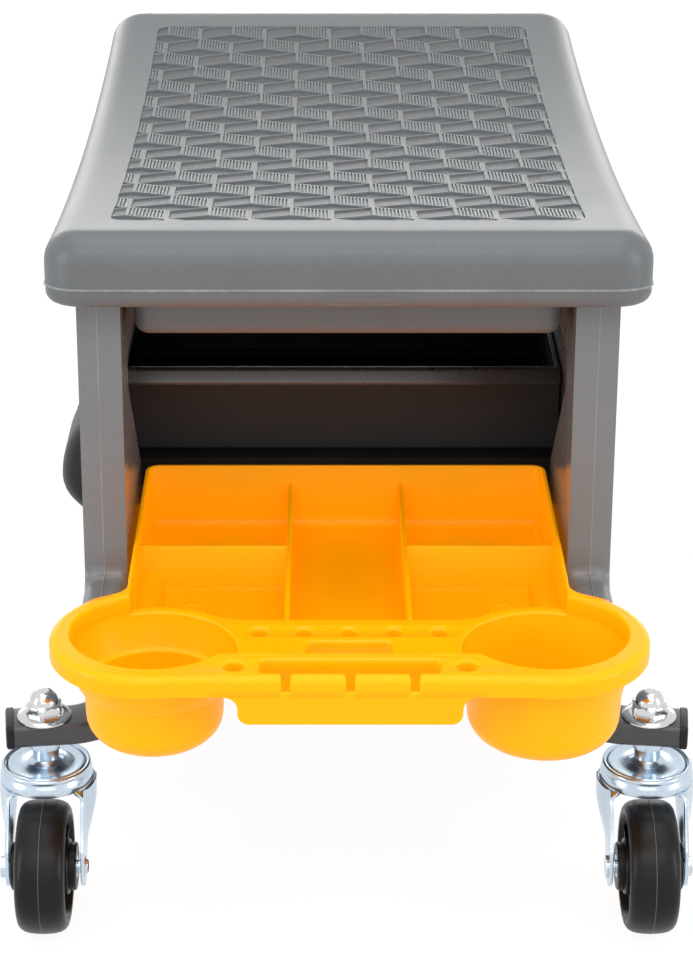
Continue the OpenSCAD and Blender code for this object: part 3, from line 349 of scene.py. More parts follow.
def finish(name, colour, rough, cloud=0.05, speck=0.1, scale=1500.0, height=3e-5, spread=0.06, **sockets):
    """Material from the grain group; **sockets are set on the shader itself."""
    m = bpy.data.materials.new(name)
    m.use_nodes = True
    n, link = m.node_tree.nodes, m.node_tree.links.new
    bsdf = n["Principled BSDF"]
    g = n.new("ShaderNodeGroup")
    g.node_tree = GRAIN
    for label, value in (("Colour", (*colour, 1)), ("Cloud", cloud), ("Speck", speck), ("Scale", scale),
                         ("Height", height), ("Rough", rough), ("Spread", spread)):
        g.inputs[label].default_value = value
    link(g.outputs["Colour"], bsdf.inputs["Base Color"])
    link(g.outputs["Roughness"], bsdf.inputs["Roughness"])
    link(g.outputs["Normal"], bsdf.inputs["Normal"])
    for label, value in sockets.items():
        bsdf.inputs[label.replace("_", " ")].default_value = value
    return m


GREY = finish("grey_plastic", (0.129, 0.138, 0.145), 0.42, speck=0.28, scale=1700, Specular_IOR_Level=0.38)
# painted shade: darker copies of the seat's grey for the relief's rhombus and lozenge floors
GREY_TOP_PAINTED_SHADE = finish("grey_diamond_painted_shade", (0.06, 0.066, 0.07), 0.52, cloud=0.1, speck=0.2, scale=1400)
GREY_SIDE_PAINTED_SHADE = finish("grey_lozenge_painted_shade", (0.088, 0.094, 0.098), 0.48, cloud=0.1, speck=0.2, scale=1400)
# painted light: the seat's plastic is made lighter on the panels to offset the shade under the seat
PANEL_GREY_PAINTED_LIGHT = finish("grey_panel_painted_light", (0.172, 0.182, 0.191), 0.27, speck=0.2, scale=1700, height=2.5e-5)
# painted highlight: a lighter grey on the parting ridges of seat and panels that stands in for their glint
FLASH_PAINTED_HIGHLIGHT = finish("grey_flash_painted_highlight", (0.235, 0.245, 0.25), 0.5, cloud=0.5, speck=0.3, scale=300, height=2e-5)
BLACK = finish("black_plastic", (0.03, 0.031, 0.033), 0.3, cloud=0.1, speck=0.2, height=2.5e-5)
# painted highlight, partly: the rim's black is lighter than the tub's, besides its real higher specular
BLACK_RIM_PAINTED_HIGHLIGHT = finish("black_rim_painted_highlight", (0.046, 0.047, 0.049), 0.28, cloud=0.2, speck=0.3, scale=1100, spread=0.2,
                   Specular_IOR_Level=0.95)
# painted light: the tub's upper wall is lighter than its black plastic, besides a real lower specular
BLACK_MATT_PAINTED_LIGHT = finish("black_matt_painted_light", (0.05, 0.056, 0.062), 0.5, cloud=0.12, speck=0.25, scale=1300,
                    Specular_IOR_Level=0.15)
# painted shade: a darker black for the tub below its step, the rim's flat top and the runners
BLACK_PAINTED_SHADE = finish("black_painted_shade", (0.02, 0.021, 0.022), 0.5, cloud=0.1, speck=0.2, scale=1300, Specular_IOR_Level=0.1)
# painted light: the emission makes the yellow plastic glow, standing in for light in the shaded bays
YELLOW_PAINTED_GLOW = finish("yellow_plastic", (1.0, 0.425, 0.0), 0.38, cloud=0.03, speck=0.03, scale=700, height=1.5e-5,
                Subsurface_Weight=0.3, Subsurface_Scale=0.01, Subsurface_Radius=(1.0, 0.55, 0.1),
                Specular_IOR_Level=0.18, Emission_Color=(1.0, 0.34, 0.0, 1), Emission_Strength=0.24)
PAINT = finish("rail_paint", (0.045, 0.044, 0.047), 0.28, cloud=0.08, speck=0.12, scale=900, Coat_Weight=0.15,
               Coat_Roughness=0.12)
CAP = finish("cap_plastic", (0.012, 0.012, 0.013), 0.38, cloud=0.06, speck=0.15, Specular_IOR_Level=0.2)
ZINC = finish("zinc_steel", (0.56, 0.66, 0.76), 0.24, cloud=0.1, scale=500, height=1.5e-5, spread=0.16, Metallic=1.0)
CHROME = finish("bright_steel", (0.66, 0.66, 0.67), 0.15, cloud=0.04, speck=0.04, scale=400, height=1e-6, spread=0.05,
                Metallic=1.0)
WHEEL = finish("wheel_plastic", (0.008, 0.008, 0.008), 0.34, cloud=0.35, speck=0.4, scale=900, height=4e-5,
               spread=0.4, Specular_IOR_Level=0.2)
TREAD_LINE = finish("tread_line", (0.06, 0.06, 0.06), 0.45, cloud=0.3, speck=0.5, scale=700, height=4e-5)


# --------------------------------------------------------------------- seat

def dish(y, depth=0.0):
    """Height of the seat's surface at y, depth below its top: a circle's arc about the dish's axis."""
    return DISH_Z - np.sqrt((DISH_R + depth) ** 2 - np.asarray(y) ** 2)


def loop(hw, hl, r, nc=9, nx=10, ny=30):
    """Rounded rectangle sampled alike at every size: nc steps a corner, nx and ny along the sides."""
    r = max(r, 0.1)
    corners = []
    for cx, cy, a0 in ((1, 1, 0), (-1, 1, 90), (-1, -1, 180), (1, -1, 270)):
        a = np.radians(np.linspace(a0, a0 + 90, nc + 1))
        corners.append(np.c_[cx * (hw - r) + r * np.cos(a), cy * (hl - r) + r * np.sin(a)])
    rows = []
    for corner, following, m in zip(corners, corners[1:] + corners[:1], (nx, ny, nx, ny)):
        rows += [corner, corner[-1] + (following[0] - corner[-1]) * np.linspace(0, 1, m + 1)[1:-1, None]]
    return np.concatenate(rows)


def clip(poly, border):
    """Convex polygon cut by a convex border (Sutherland-Hodgman)."""
    for a, b in zip(border, np.roll(border, -1, 0)):
        side = [(b[0] - a[0]) * (p[1] - a[1]) - (b[1] - a[1]) * (p[0] - a[0]) for p in poly]
        out = []
        for k in range(len(poly)):
            p, q, sp, sq = poly[k - 1], poly[k], side[k - 1], side[k]
            if (sp >= 0) != (sq >= 0):
                out.append(p + (q - p) * (sp / (sp - sq)))
            if sq >= 0:
                out.append(q)
        poly = out
        if len(poly) < 3:
            return []
    return poly


def tumbling_blocks(hw, hl, r):
    """Recessed faces of the block pattern, each (polygon, depth, tone): a rhombus on top (1), a smooth
    lozenge on the right (2) and narrow upright grooves on the left (3) of each block. Tones 1 and 2 are
    painted shade: darker greys of the seat's one plastic that stand in for the facets' shading."""
    half, side, rise = 22.1, 19.9, 9.5
    groove, pitch = 0.85, 1.95
    border = rounded(box_outline(-hw, hw, -hl, hl, r), 0, 8)
    found = []
    for j in range(17):
        v = -hl + 4.5 + j * (side + rise)
        for i in range(-1, 7):
            u = -hw + 7.4 + 2 * half * (i + 0.5 * (j % 2))
            rhombus = [(u - half, v), (u, v - rise), (u + half, v), (u, v + rise)]
            lozenge = [(u, v - rise, 0, 2.6), (u, v - rise - side, 0, 1), (u + half, v - side, 0, 1.2),
                       (u + half, v, 0, 1)]
            faces = [(rounded(rhombus, 0.5), 1.1, 1), (rounded(lozenge, 0.5), 1.0, 2)]
            for k in range(10):
                g = u - half + 1.5 + k * pitch
                top = [v - rise * (x - u + half) / half - 0.75 for x in (g, g + groove)]
                low = [t - side + 1.5 for t in top]
                slit = [(g, low[0]), (g + groove, low[1]), (g + groove, top[1]), (g, top[0])]
                faces.append((np.array(slit), 0.9, 3))
            for poly, depth, tone in faces:
                inside = np.all(np.abs(poly) < [hw - r, hl - r])
                part = poly if inside else np.array(clip(list(poly), border))
                if len(part) < 3:
                    continue
                x, y = part[:, 0], part[:, 1]
                area = abs(np.sum(x * np.roll(y, -1) - np.roll(x, -1) * y)) / 2
                # slivers left at the border are dropped
                if area >= 3.0 and np.ptp(x) >= 0.6 and np.ptp(y) >= 1.5:
                    found.append((part, depth, tone))
    return found


def seat():
    """Dished slab lofted from rounded rectangles (inset, depth), its top carrying the relief cut
    into a Delaunay net, with the box below it."""
    s = Shape()
    hw, hl = 126.6, 220.5  # half sizes of the patterned field
    blocks = tumbling_blocks(hw, hl, 9.0)
    border = loop(hw + 1.2, hl + 1.2, 10.2)
    coords, faces = list(map(tuple, border)), [list(range(len(border)))]
    for poly, _, _ in blocks:
        faces.append(list(range(len(coords), len(coords) + len(poly))))
        coords += list(map(tuple, poly))
    verts, _, tris, orig_v, _, orig_f = delaunay_2d_cdt([Vector(c) for c in coords], [], faces, 1, 1e-5)
    flat = np.array([(p.x, p.y) for p in verts])
    top = s.ring(np.c_[flat, dish(flat[:, 1])])
    where = np.zeros(len(coords), int)
    for new, old in enumerate(orig_v):
        where[list(old)] = new
    s.add([[top[k] for k in t] for t, o in zip(tris, orig_f) if list(o) == [0]])
    # each face's floor is its outline drawn in towards its middle, a groove's mostly across
    for (poly, depth, tone), index in zip(blocks, faces[1:]):
        c = poly.mean(0)
        near = min(np.ptp(poly[:, 0]), np.ptp(poly[:, 1]))
        k = 1 - 2 * min(0.3, near / 6) / max(near, 1)
        foot = c + (poly - c) * (k if tone != 3 else (0.62, 0.985))
        ring = s.ring(np.c_[foot, dish(foot[:, 1], depth)])
        s.skin(top[where[index]], ring)
        # painted shade: rhombus floors take the darkest grey and lozenge floors a darker one; groove floors keep the
        # seat's grey
        s.add([ring], tone if tone < 3 else 0)
    # margin, rounded edge, parting ridge, lower edge
    inner = loop(SEAT_HALF[0] - EDGE_R, SEAT_HALF[1] - EDGE_R, CORNER_R - EDGE_R + 0.5)
    rings = [s.ring(np.c_[p, dish(p[:, 1])]) for p in (border + (inner - border) * k for k in (0, 0.3, 0.65))]
    low_r, low_depth = 6.9, 33.1
    rows = [(EDGE_R * (1 - math.sin(k)), EDGE_R * (1 - math.cos(k))) for k in quarter(10)]
    rows += [(0, 24.0), (0, 28.9), (-0.6, 29.3), (-0.7, 29.9), (-0.2, 30.3), (0.25, 30.6), (0.25, 33.0)]
    rows += [(0.15 + low_r * (1 - math.cos(k)), low_depth + low_r * math.sin(k)) for k in quarter(6)]
    ridge = set()
    for inset, depth in rows:
        p = loop(SEAT_HALF[0] - inset, SEAT_HALF[1] - inset, CORNER_R - inset)
        rings.append(s.ring(np.c_[p, dish(p[:, 1], depth)]))
        if inset < 0:
            ridge |= {len(rings) - 1, len(rings) - 2}
    p = loop(*BOX_HALF, BOX_R)
    rings.append(s.ring(np.c_[p, dish(p[:, 1], SKIRT)]))
    foot = [(0.6 + 7 * (1 - math.cos(k)), 347.7 - 7 * math.sin(k)) for k in np.linspace(0.1, math.pi / 2, 7)]
    for inset, z in [(0.25, 358.0), (0.5, 348.2)] + foot + [(8.5, 340.7)]:
        p = loop(BOX_HALF[0] - inset, BOX_HALF[1] - inset, BOX_R - inset)
        rings.append(s.ring(place(p, z)))
    # painted highlight: the parting ridge's steps take tone 3, the lighter grey
    s.loft(rings, marked=ridge, tone=3)
    s.cap(rings[-1:])
    # faint raised oval on the front's lower strip: a low ridge laid on the edge's quarter circle
    rows = []
    for t in np.linspace(0, 2 * math.pi, 61)[:-1]:
        strip = []
        for grow, proud in ((0.45, -0.1), (0.0, 0.28), (-0.45, -0.1)):
            depth = 35.4 + (2.9 + grow) * math.sin(t)
            k = math.asin(min(max((depth - low_depth) / low_r, 0), 1))
            y = -(SEAT_HALF[1] - 0.15 - low_r * (1 - math.cos(k)) + proud * math.cos(k))
            strip.append((7.6 + (24.5 + grow) * math.cos(t), y, float(dish(y, depth)) - proud * math.sin(k)))
        rows.append(strip)
    s.loft([s.ring(np.array(rows)[:, k]) for k in range(3)])
    # bosses for the screws on the box's long sides
    for sx in (-1, 1):
        for y in (-SCREW_Y, SCREW_Y):
            s.revolve([(0, 121 * sx), (6.4, 121 * sx), (7, 120.4 * sx), (7, 112 * sx)], (0, y, SCREW_Z), "x", 24)
    return s


piece("seat_shell", seat(), "base", [GREY, GREY_TOP_PAINTED_SHADE, GREY_SIDE_PAINTED_SHADE, FLASH_PAINTED_HIGHLIGHT], ("seat",), angle=28)


# -------------------------------------------------------------- side panels

def panel_loop():
    """Side view of a panel as corners for rounded(): its top follows the seat's underside."""
    under = [(y, float(dish(y, SKIRT)), 0, 0.0) for y in np.linspace(235, -235, 25)]
    low = [(-235, 202, 8), (-285, 202, 17), (-285, 180, 14), (-259, 150, 22), (-236, 118, 7), (-190, 118, 8),
           (-180, 128, 8)]
    return under + low + [(-y, z, r) for y, z, r in reversed(low)]


def panel(window):
    """Panel across its thickness: rounded edges, a parting ridge in the middle, the recess in the inner
    face, screw holes, and a window for the drawer in one of them. Mirrored for the left."""
    s = Shape()
    rows = edges(PANEL_IN, PANEL_OUT, 6, 6, 5)
    half = len(rows) // 2
    rows[half:half] = [(133.4, 0), (133.75, -0.6), (134.25, -0.6), (134.6, 0)]
    # painted highlight: the ridge's step takes tone 1, the lighter grey
    rings = s.wall(panel_loop(), rows, "x", marked=(half + 1,))
    recess = [(-193, 317, 8), (193, 317, 8), (193, 299, 10), (116, 222, 12), (116, 140, 8), (-116, 140, 8),
              (-116, 222, 12), (-193, 299, 10)]
    rows = [(PANEL_IN, 1.2), (PANEL_IN + 0.35, 0.35), (PANEL_IN + 1.2, 0), (RECESS_X - 2, -0.4),
            (RECESS_X - 0.6, -1.0), (RECESS_X, -2.4)]
    walls = s.wall(recess, rows, "x", -1)
    s.cap([rings[0], walls[0]], "x")
    outside, inside = [rings[-1]], [walls[-1]]
    rows = [(7.1, PANEL_OUT), (6.35, PANEL_OUT - 0.7), (6.25, 141.2), (0.2, 141.1)]
    for y in (-SCREW_Y, SCREW_Y):
        outside.append(s.bore(y, SCREW_Z, rows, "x", 24)[0])
    if window:
        rows = [(PANEL_OUT, 1.6), (PANEL_OUT - 0.45, 0.5), (PANEL_OUT - 1.6, 0), (RECESS_X + 0.6, 0), (RECESS_X, 0.6)]
        opening = s.wall(box_outline(-91.5, 91.5, 148.5, 270.5, 4), rows, "x", -1)
        outside.append(opening[0])
        inside.append(opening[-1])
    s.cap(outside, "x")
    s.cap(inside, "x")
    return s


def cut(ob, boxes):
    """Cuts blocks out of a piece with one exact boolean; the cutter isn't kept."""
    s = Shape()
    for low, high in boxes:
        s.plate(box_outline(low[0], high[0], low[1], high[1]), [(low[2], 0), (high[2], 0)])
    tool = in_scene("cutter", mesh_of("cutter", s, [], 30))
    mod = ob.modifiers.new("cut", "BOOLEAN")
    mod.operation, mod.object, mod.solver = "DIFFERENCE", tool, "EXACT"
    bpy.context.view_layer.update()
    fresh = bpy.data.meshes.new_from_object(ob.evaluated_get(bpy.context.evaluated_depsgraph_get()))
    ob.modifiers.clear()
    old, ob.data = ob.data, fresh
    bpy.data.meshes.remove(old)
    bpy.data.objects.remove(tool)
    smooth(fresh, 35)


# the trays' tongues slide in a groove at each end of both panels
for side, node, window in ((1, "right_panel", False), (-1, "left_panel", True)):
    turned = Shape().merge(panel(window), mirror_x if side < 0 else None)
    ob = piece(node + "_moulding", turned, "base", [PANEL_GREY_PAINTED_LIGHT, FLASH_PAINTED_HIGHLIGHT], (node,))
    grooves = []
    for end in (-1, 1):
        x0, x1 = sorted((side * 120.0, side * 126.25))
        y0, y1 = sorted((end * 119.0, end * 290.0))
        grooves.append(((x0, y0, 194.0), (x1, y1, 198.0)))
    cut(ob, grooves)


# -------------------------------------------------------- rails and end caps

def rail_path():
    """Plan of the right rail's centre line: straight, a bend, then the arm. Also gives the arm's end
    and its angle."""
    arm, bend_r, x, y = math.radians(7.2), 26, 159, 211.42
    a = np.linspace(math.pi, math.pi / 2 + arm, 15)
    bend = np.c_[x + bend_r * np.cos(a), y + bend_r * np.sin(a)]
    end = bend[-1] + 33.3 * np.array([math.cos(arm), math.sin(arm)])
    up = np.concatenate([[[x - bend_r, 0.0], [x - bend_r, 150.0]], bend, [(bend[-1] + end) / 2], [end]])
    return np.concatenate([(up * [1, -1])[::-1][:-1], up]), end, arm


PATH, ARM_END, ARM = rail_path()
SECTION = rounded(box_outline(-13, 13, 105, 118, 2.6), 0, 5)
for side, node in ((1, "right_side_rail"), (-1, "left_side_rail")):
    s = Shape()
    s.sweep(SECTION, PATH * [side, 1])
    piece(node + "_tube", s, "base", PAINT, (node,), angle=50)


def end_caps():
    """Slightly bulged plugs: rounded rectangles along the arm's direction."""
    s = Shape()
    out = np.array([math.cos(ARM), math.sin(ARM)])
    side = np.array([-out[1], out[0]])
    rows = [(-1.7, 0.75), (-1.6, 0.3), (-1.3, 0), (1.7, 0), (2.3, 0.35), (2.7, 1.1), (2.95, 2.6), (3.0, 4.5)]
    for sx in (-1, 1):
        for sy in (-1, 1):
            rings = []
            for h, d in rows:
                sec = rounded(box_outline(-13.6, 13.6, 104.4, 118.6, 2.9), d, 5)
                xy = ARM_END + out * h + sec[:, :1] * side
                rings.append(s.ring(np.c_[xy * [sx, sy], sec[:, 1]]))
            s.loft(rings)
            s.add([rings[0], rings[-1]])
    return s


piece("rail_end_plugs", end_caps(), "base", CAP, ("rail_end_caps",))


# ------------------------------------------------------------------- drawer

def drawer():
    """Stepped tub with a rolled rim on its long sides, its front plate filling the panel's window.
    Behind the plate each face takes a black of the one plastic by height, as painted light and shade:
    2, a darker black below the step and on the rim's flat top, is painted shade; 1, a lighter matt black
    on the upper wall, is painted light; 3, a lighter black with a real higher specular on the rim's
    slanted front, is partly a painted highlight."""
    s = Shape()
    half = [(90, 259, 1.2), (90, 261.2, 6.0), (86.9, 269, 2.6), (82.5, 269, 1.0), (82.5, 218.5, 2), (74.5, 218.5, 2),
            (74.5, 152.5, 5)]
    outer = [(85, 259, 1.5), (85, 216, 2), (77, 216, 2), (77, 150, 7)]
    out = [(-y, z, r) for y, z, r in half] + half[::-1] + outer + [(-y, z, r) for y, z, r in outer[::-1]]
    s.plate(out, [(-141.5, 0.0), (127.6, 0), (128.55, 0.5)], "x", 5)
    front = [(-90, 216, 2.5), (-90, 269, 5), (90, 269, 5), (90, 216, 2.5), (77, 216, 2), (77, 150, 7), (-77, 150, 7),
             (-77, 216, 2)]
    s.plate(front, edges(PLATE_X, -140.25, 1.2, 0.4, 3), "x", 5)
    back = [(-84, 217, 1), (-84, 268, 2), (84, 268, 2), (84, 217, 1), (76, 217, 1), (76, 151, 6), (-76, 151, 6),
            (-76, 217, 1)]
    s.plate(back, edges(126.05, 128.45, 0.4, 0.8, 2), "x", 5)
    step, rim_top, rim_foot = 216.6, 267.9, 259.5
    every = np.concatenate(s.points)
    # painted shade, light and highlight: the tub's faces take darker or lighter blacks by height
    for k, face in enumerate(s.faces):
        x, y, z = every[list(face)].T
        if x.max() < -139:
            continue
        if z.max() < step or (z.min() > rim_top and np.abs(y).max() < 86.2):
            s.tones[k] = 2
        else:
            s.tones[k] = 1 if z.max() < rim_foot else 3
    return s


piece("drawer_tub", drawer(), "drawer", [BLACK, BLACK_MATT_PAINTED_LIGHT, BLACK_PAINTED_SHADE, BLACK_RIM_PAINTED_HIGHLIGHT], ("drawer",))


def pull():
    """Cup pull: for each height the plan is half a rounded rectangle whose reach follows the side
    profile, an arc of 59.46 over a rounded foot of 20; an inner shell 3 inside it makes it hollow."""
    s = Shape()
    arc_r, foot_r, foot_z, low, shell = 59.46, 20, 173, 153.0, 3

    def reach(z, inset):
        if z < foot_z:
            return 14.5 + math.sqrt(max((foot_r - inset) ** 2 - (foot_z - z) ** 2, 0))
        return max(34.5 - arc_r + math.sqrt(max((arc_r - inset) ** 2 - (z - foot_z) ** 2, 0)), 0.02)

    def plan(z, inset, d):
        w = 48 - inset
        r = min(27 - inset, max(d, 0.05), w)
        a = np.linspace(-math.pi / 2, 0, 12)
        corner = np.c_[d - r + r * np.cos(a), -(w - r) + r * np.sin(a)]
        p = np.concatenate([[[0, -w]], corner, [[d, 0]], (corner * [1, -1])[::-1], [[0, w]]])
        return s.ring(np.c_[PLATE_X - p[:, 0], p[:, 1], np.full(len(p), z)])

    heights = np.concatenate([low + 20 * (1 - np.cos(quarter(9))), np.linspace(176, 224, 16), [226.4, 227]])
    outer = s.loft([plan(z, 0, reach(z, 0)) for z in heights], False)
    rounding = 156 + 17 * (1 - np.cos(np.linspace(0.3, math.pi / 2, 8)))
    heights = np.concatenate([[low], rounding, np.linspace(176, 221, 15)])
    inner = s.loft([plan(z, shell, max(reach(max(z, 156), shell), 0.05)) for z in heights], False)
    s.loft([outer[0], plan(low, 1.4, reach(low, 0) - 1.2), inner[0]], False)
    return s


piece("drawer_pull_cup", pull(), "drawer", CAP, ("drawer_pull",), angle=40)


# -------------------------------------------------------------------- trays

def both_halves(half, last):
    """Half an outline, then its mirror image walked the other way: there each corner takes the share
    w of the edge that now follows it, and the final one takes last."""
    back = half[::-1]
    shares = [row[3] for row in back[1:]] + [last]
    return half + [(-x, y, r, w) for (x, y, r, _), w in zip(back, shares)]


def flange_outline():
    """Left half, then mirrored: side wall, neck, lobe, front edge, slot, then back along the strip
    and round the cup's mouth. w makes the rounded upper edge wide outside and narrow inside."""
    wide, thin, arm = 1.0, 0.35, 0.15
    left = [(-117.5, -276, 0, arm)]
    for k in np.linspace(0, 1, 9)[:-1]:
        t = math.radians(-65.2 * k)
        left.append((-127.5 + 10 * math.cos(t), -284.2 + 10 * math.sin(t), 0.0, arm + 0.75 * k))
    left += arc(-101.5, -340.5, LOBE, 114.8, 284.0, 44, wide) + [(-80, -391.0, 0, wide)]
    left += [(-34.05, -391, 1.6, thin), (-34.05, -384.5, 1.2, thin), (-45, -384.5, 2.3, thin),
             (-45, -370.5, 2.3, thin)]
    # round the mouth from where it meets the side arm to where it meets the strip
    a0 = math.degrees(math.acos(14.8 / MOUTH))
    a1 = math.degrees(math.asin(25.0 / MOUTH)) - 180
    inner = [(115.3, -276, 0, arm)] + arc(CUP_X, CUP_Y, MOUTH, a0, a1, 40, thin)
    return both_halves(left, arm) + both_halves(inner, arm)


def deck_outline():
    """Deck between the bays and the strip: its back edge bulges round the cups."""
    back, mouth, bulge, arm = 1.0, 0.42, 51.0, 15.1
    a0 = math.degrees(math.acos(arm / bulge))
    a1 = 180 - math.degrees(math.asin(36.0 / bulge))
    m0 = math.degrees(math.acos(arm / MOUTH))
    m1 = 180 + math.degrees(math.asin(26.0 / MOUTH))
    right = [(60.2, -302, 9, back)]
    for part in (arc(CUP_X, CUP_Y, bulge, a1 - 6, a0, 14, back), arc(CUP_X, CUP_Y, MOUTH, m0, m1, 36, mouth)):
        right += part[:-1] + [part[-1][:3] + (0.0,)]
    return both_halves(right, back)


def tray():
    """Whole front tray but for its cups: skirted top plate, deck, teeth, lip, bays, dividers, pegs."""
    s = Shape()
    # skirted plate: upper edge rounded 4, skirt down to the deck's height, underside
    outline = flange_outline()
    caps = s.wall(outline, [(RIM, 4.4)] + roll(RIM, 4)[::-1] + [(DECK + 0.35, 0), (DECK, 0.35)])[:1]
    for sx in (-1, 1):
        rows = [(6.5, RIM), (6.2, RIM - 0.12), (5.5, RIM - 0.9), (5.3, RIM - 1.4), (5.2, RIM - 9)]
        caps.append(s.bore(sx * 58.1, -377.5, rows)[0])
        x0, x1 = sorted((sx * 40.5, sx * 52.5))
        rows = [(RIM, 0.35), (RIM - 0.2, 0.05), (RIM - 0.7, 0.0), (RIM - 0.7, -0.4)]
        mark = s.wall(box_outline(x0, x1, -368.7, -366.3, 0.5), rows, way=-1, steps=2)
        s.cap(mark[-1:])
        caps.append(mark[0])
    s.cap(caps)
    s.cap(s.wall(outline, [(DECK, 0.35)]))
    # teeth between the notches
    for x0, x1 in ((-29.95, -2.05), (2.05, 29.95)):
        tooth = [(x0, -391, 1.6, 1.0), (x1, -391, 1.6, 0.4), (x1, -384.5, 1.2, 0.4), (x0, -384.5, 1.2, 0.4)]
        s.plate(tooth, [(DECK, 0.2), (DECK + 0.3, 0)] + roll(RIM, 4) + [(RIM, 4.15)])
    # lip: filleted into the skirt, rounded lower corners
    lip = [(-56, 196, 5.5), (56, 196, 5.5), (56, 211, 7), (68, 211), (68, 214), (-68, 214), (-68, 211), (-56, 211, 7)]
    s.plate(lip, edges(-390.95, -388.6, 0.6, 0.5, 3), "y")
    s.box_pair((53.6, -390.2, 200), (56, -384.4, 211))
    # deck with its holes
    rows = [(DECK - 11, 0), (DECK - 4, 0), (DECK - 2, 0), (DECK - 1.3, 0.25), (DECK - 0.15, 1.9), (DECK, 2.15)]
    holes = [s.wall((i * 23.4, -318) + 4.2 * circle(28), rows, way=-1) for i in range(-2, 3)]
    rows = [(DECK - 11, 0), (DECK - 4, 0), (DECK - 1.6, 0), (DECK - 0.9, 0.2), (DECK - 0.2, 0.9), (DECK, 1.6)]
    holes.append(s.wall(box_outline(-22, 22, -343, -329, 3.5), rows, way=-1))
    rings = s.wall(deck_outline(), [(DECK - 4, 0.3), (DECK - 3.6, 0)] + roll(DECK, 3.6) + [(DECK, 3.9)])
    s.cap([rings[-1]] + [hole[-1] for hole in holes])
    s.cap([rings[0]] + [hole[1] for hole in holes])
    # wall under the deck's back edge, and the one behind the long slot
    s.box((-75, -304.2, 181.9), (75, -302, 207.6))
    s.box((-46.5, -370.5, 197), (46.5, -368.3, 211.4), 0.3)
    # side and back walls of the bays as one swept wall with a foot rounded into the floor
    wall = [(1.1, 181.8), (1.1, 221.2), (0.7, 221.9), (0.0, RIM), (-0.7, 221.9), (-1.1, 221.2), (-1.15, 190.0),
            (-1.6, 187.2), (-2.9, 185.1), (-5.0, FLOOR), (-5.0, 181.8)]
    x, front, back = 116.4, -277, -124.1
    corner = rounded([(-x, front), (-x, back, 7), (x, back, 7), (x, front)], 0, 8)
    left, right = [[-x, -250.0], [-x, -180.0]], [[x, -180.0], [x, -250.0]]
    s.sweep(wall, np.concatenate([corner[:1], left, corner[1:-1], right, corner[-1:]]))
    s.plate(box_outline(-114, 114, -299.5, -126, 1), [(181.8, 0), (FLOOR, 0)])
    s.plate(box_outline(-75, 75, -304, -299, 1), [(181.9, 0), (183.9, 0)])
    # dividers, narrow at the top, with a rounded foot
    half = [(3.5, FLOOR), (2.0, FLOOR + 0.9), (1.3, FLOOR + 2.6), (1.235, DECK - 0.5), (0.975, DECK - 0.05)]
    divider = [(-u, z) for u, z in half] + half[::-1]
    peg = [(10, 184), (8.4, 184.5), (7.7, 186), (7.5, 194), (7.1, 195.4), (6.0, 196.0), (5.6, 196.0), (5.2, 195.7),
           (0, 195.7)]
    for sx in (-1, 1):
        s.sweep(divider, [(sx * 32.5, y) for y in (-304, -250, -180, -124.5)])
        s.sweep(divider, [(sx * x, -212.1) for x in (32.5, 60, 90, 116)])
        s.revolve(peg, (sx * 84, -262, 0), n=40)
        # quarter-round along the foot of the outer wall in front of the cross divider
        bead = [(sx * (115.3 - 13 * math.cos(k)), FLOOR + 13 * math.sin(k)) for k in quarter(9)]
        bead.insert(0, (sx * 115.0, 183.9))
        rings = s.loft([s.ring(place(np.array(bead), y, "y")) for y in (-287, -250, -213)])
        s.add([rings[0], rings[-1]])
        # ejector marks: fine raised rings
        for x, y, z in ((61.5, -309.5, DECK), (11.5, -321.5, DECK), (83.2, -384, RIM)):
            s.revolve([(4.0, z - 0.2), (4.25, z + 0.14), (4.5, z - 0.2)], (sx * x, y, 0), n=36)
    # the side walls' front ends, and the tongues that slide in the panels' grooves
    s.box_pair((115.3, -299.4, 182), (117.5, -275.5, 211.2), 0.3)
    s.box_pair((117, -233, 194.3), (125.35, -125.2, 197.7), 0.5)
    return s


def cups():
    """Both cup holders: the left one narrows to a well under a ledge, the right one tapers evenly, and
    a quarter circle about (foot, 176.5) leads to the floor. The upper ring drops to the deck's edge
    where the deck meets the mouth."""
    s = Shape()
    ledged = [(41.4, 205.0), (37.6, 195.2), (36.6, 193.4), (35.0, 192.6), (34.2, 192.0), (33.9, 190.6)]
    straight = [(40.6, 200), (38.0, 188.8)]
    for sx, side, foot in ((-1, ledged, 21.4), (1, straight, 25.4)):
        centre = (sx * CUP_X, CUP_Y)
        mouth = centre + MOUTH * circle(96)
        on_deck = (np.abs(mouth[:, 0]) < 115.6) & (mouth[:, 1] > -364)
        rings = [s.ring(place(mouth, np.where(on_deck, 209.5, 211.3)))]
        rows = side + [(foot + 12 * math.cos(k), 176.5 - 12 * math.sin(k)) for k in quarter(9)]
        for r, z in rows + [(15, 164.5), (6, 164.5), (5.6, 164.2), (0, 164.2)]:
            rings.append(s.ring(place(centre + r * circle(96), z)))
        s.loft(rings)
        outer = [(r + 2.2, z) for r, z in [(MOUTH, 209.3)] + side]
        outer += [(foot + 14.2 * math.cos(k), 176.5 - 14.2 * math.sin(k)) for k in quarter(9)]
        s.revolve(outer + [(12, 162.3), (0, 162.3)], (*centre, 0), n=96)
    return s


for node, move in (("front_tray", None), ("rear_tray", half_turn)):
    for label, maker, gone in (("_tub", tray, (node,)), ("_cups", cups, ())):
        piece(node + label, Shape().merge(maker(), move), node, YELLOW_PAINTED_GLOW, gone, angle=32)


# ------------------------------------------------------------------- casters

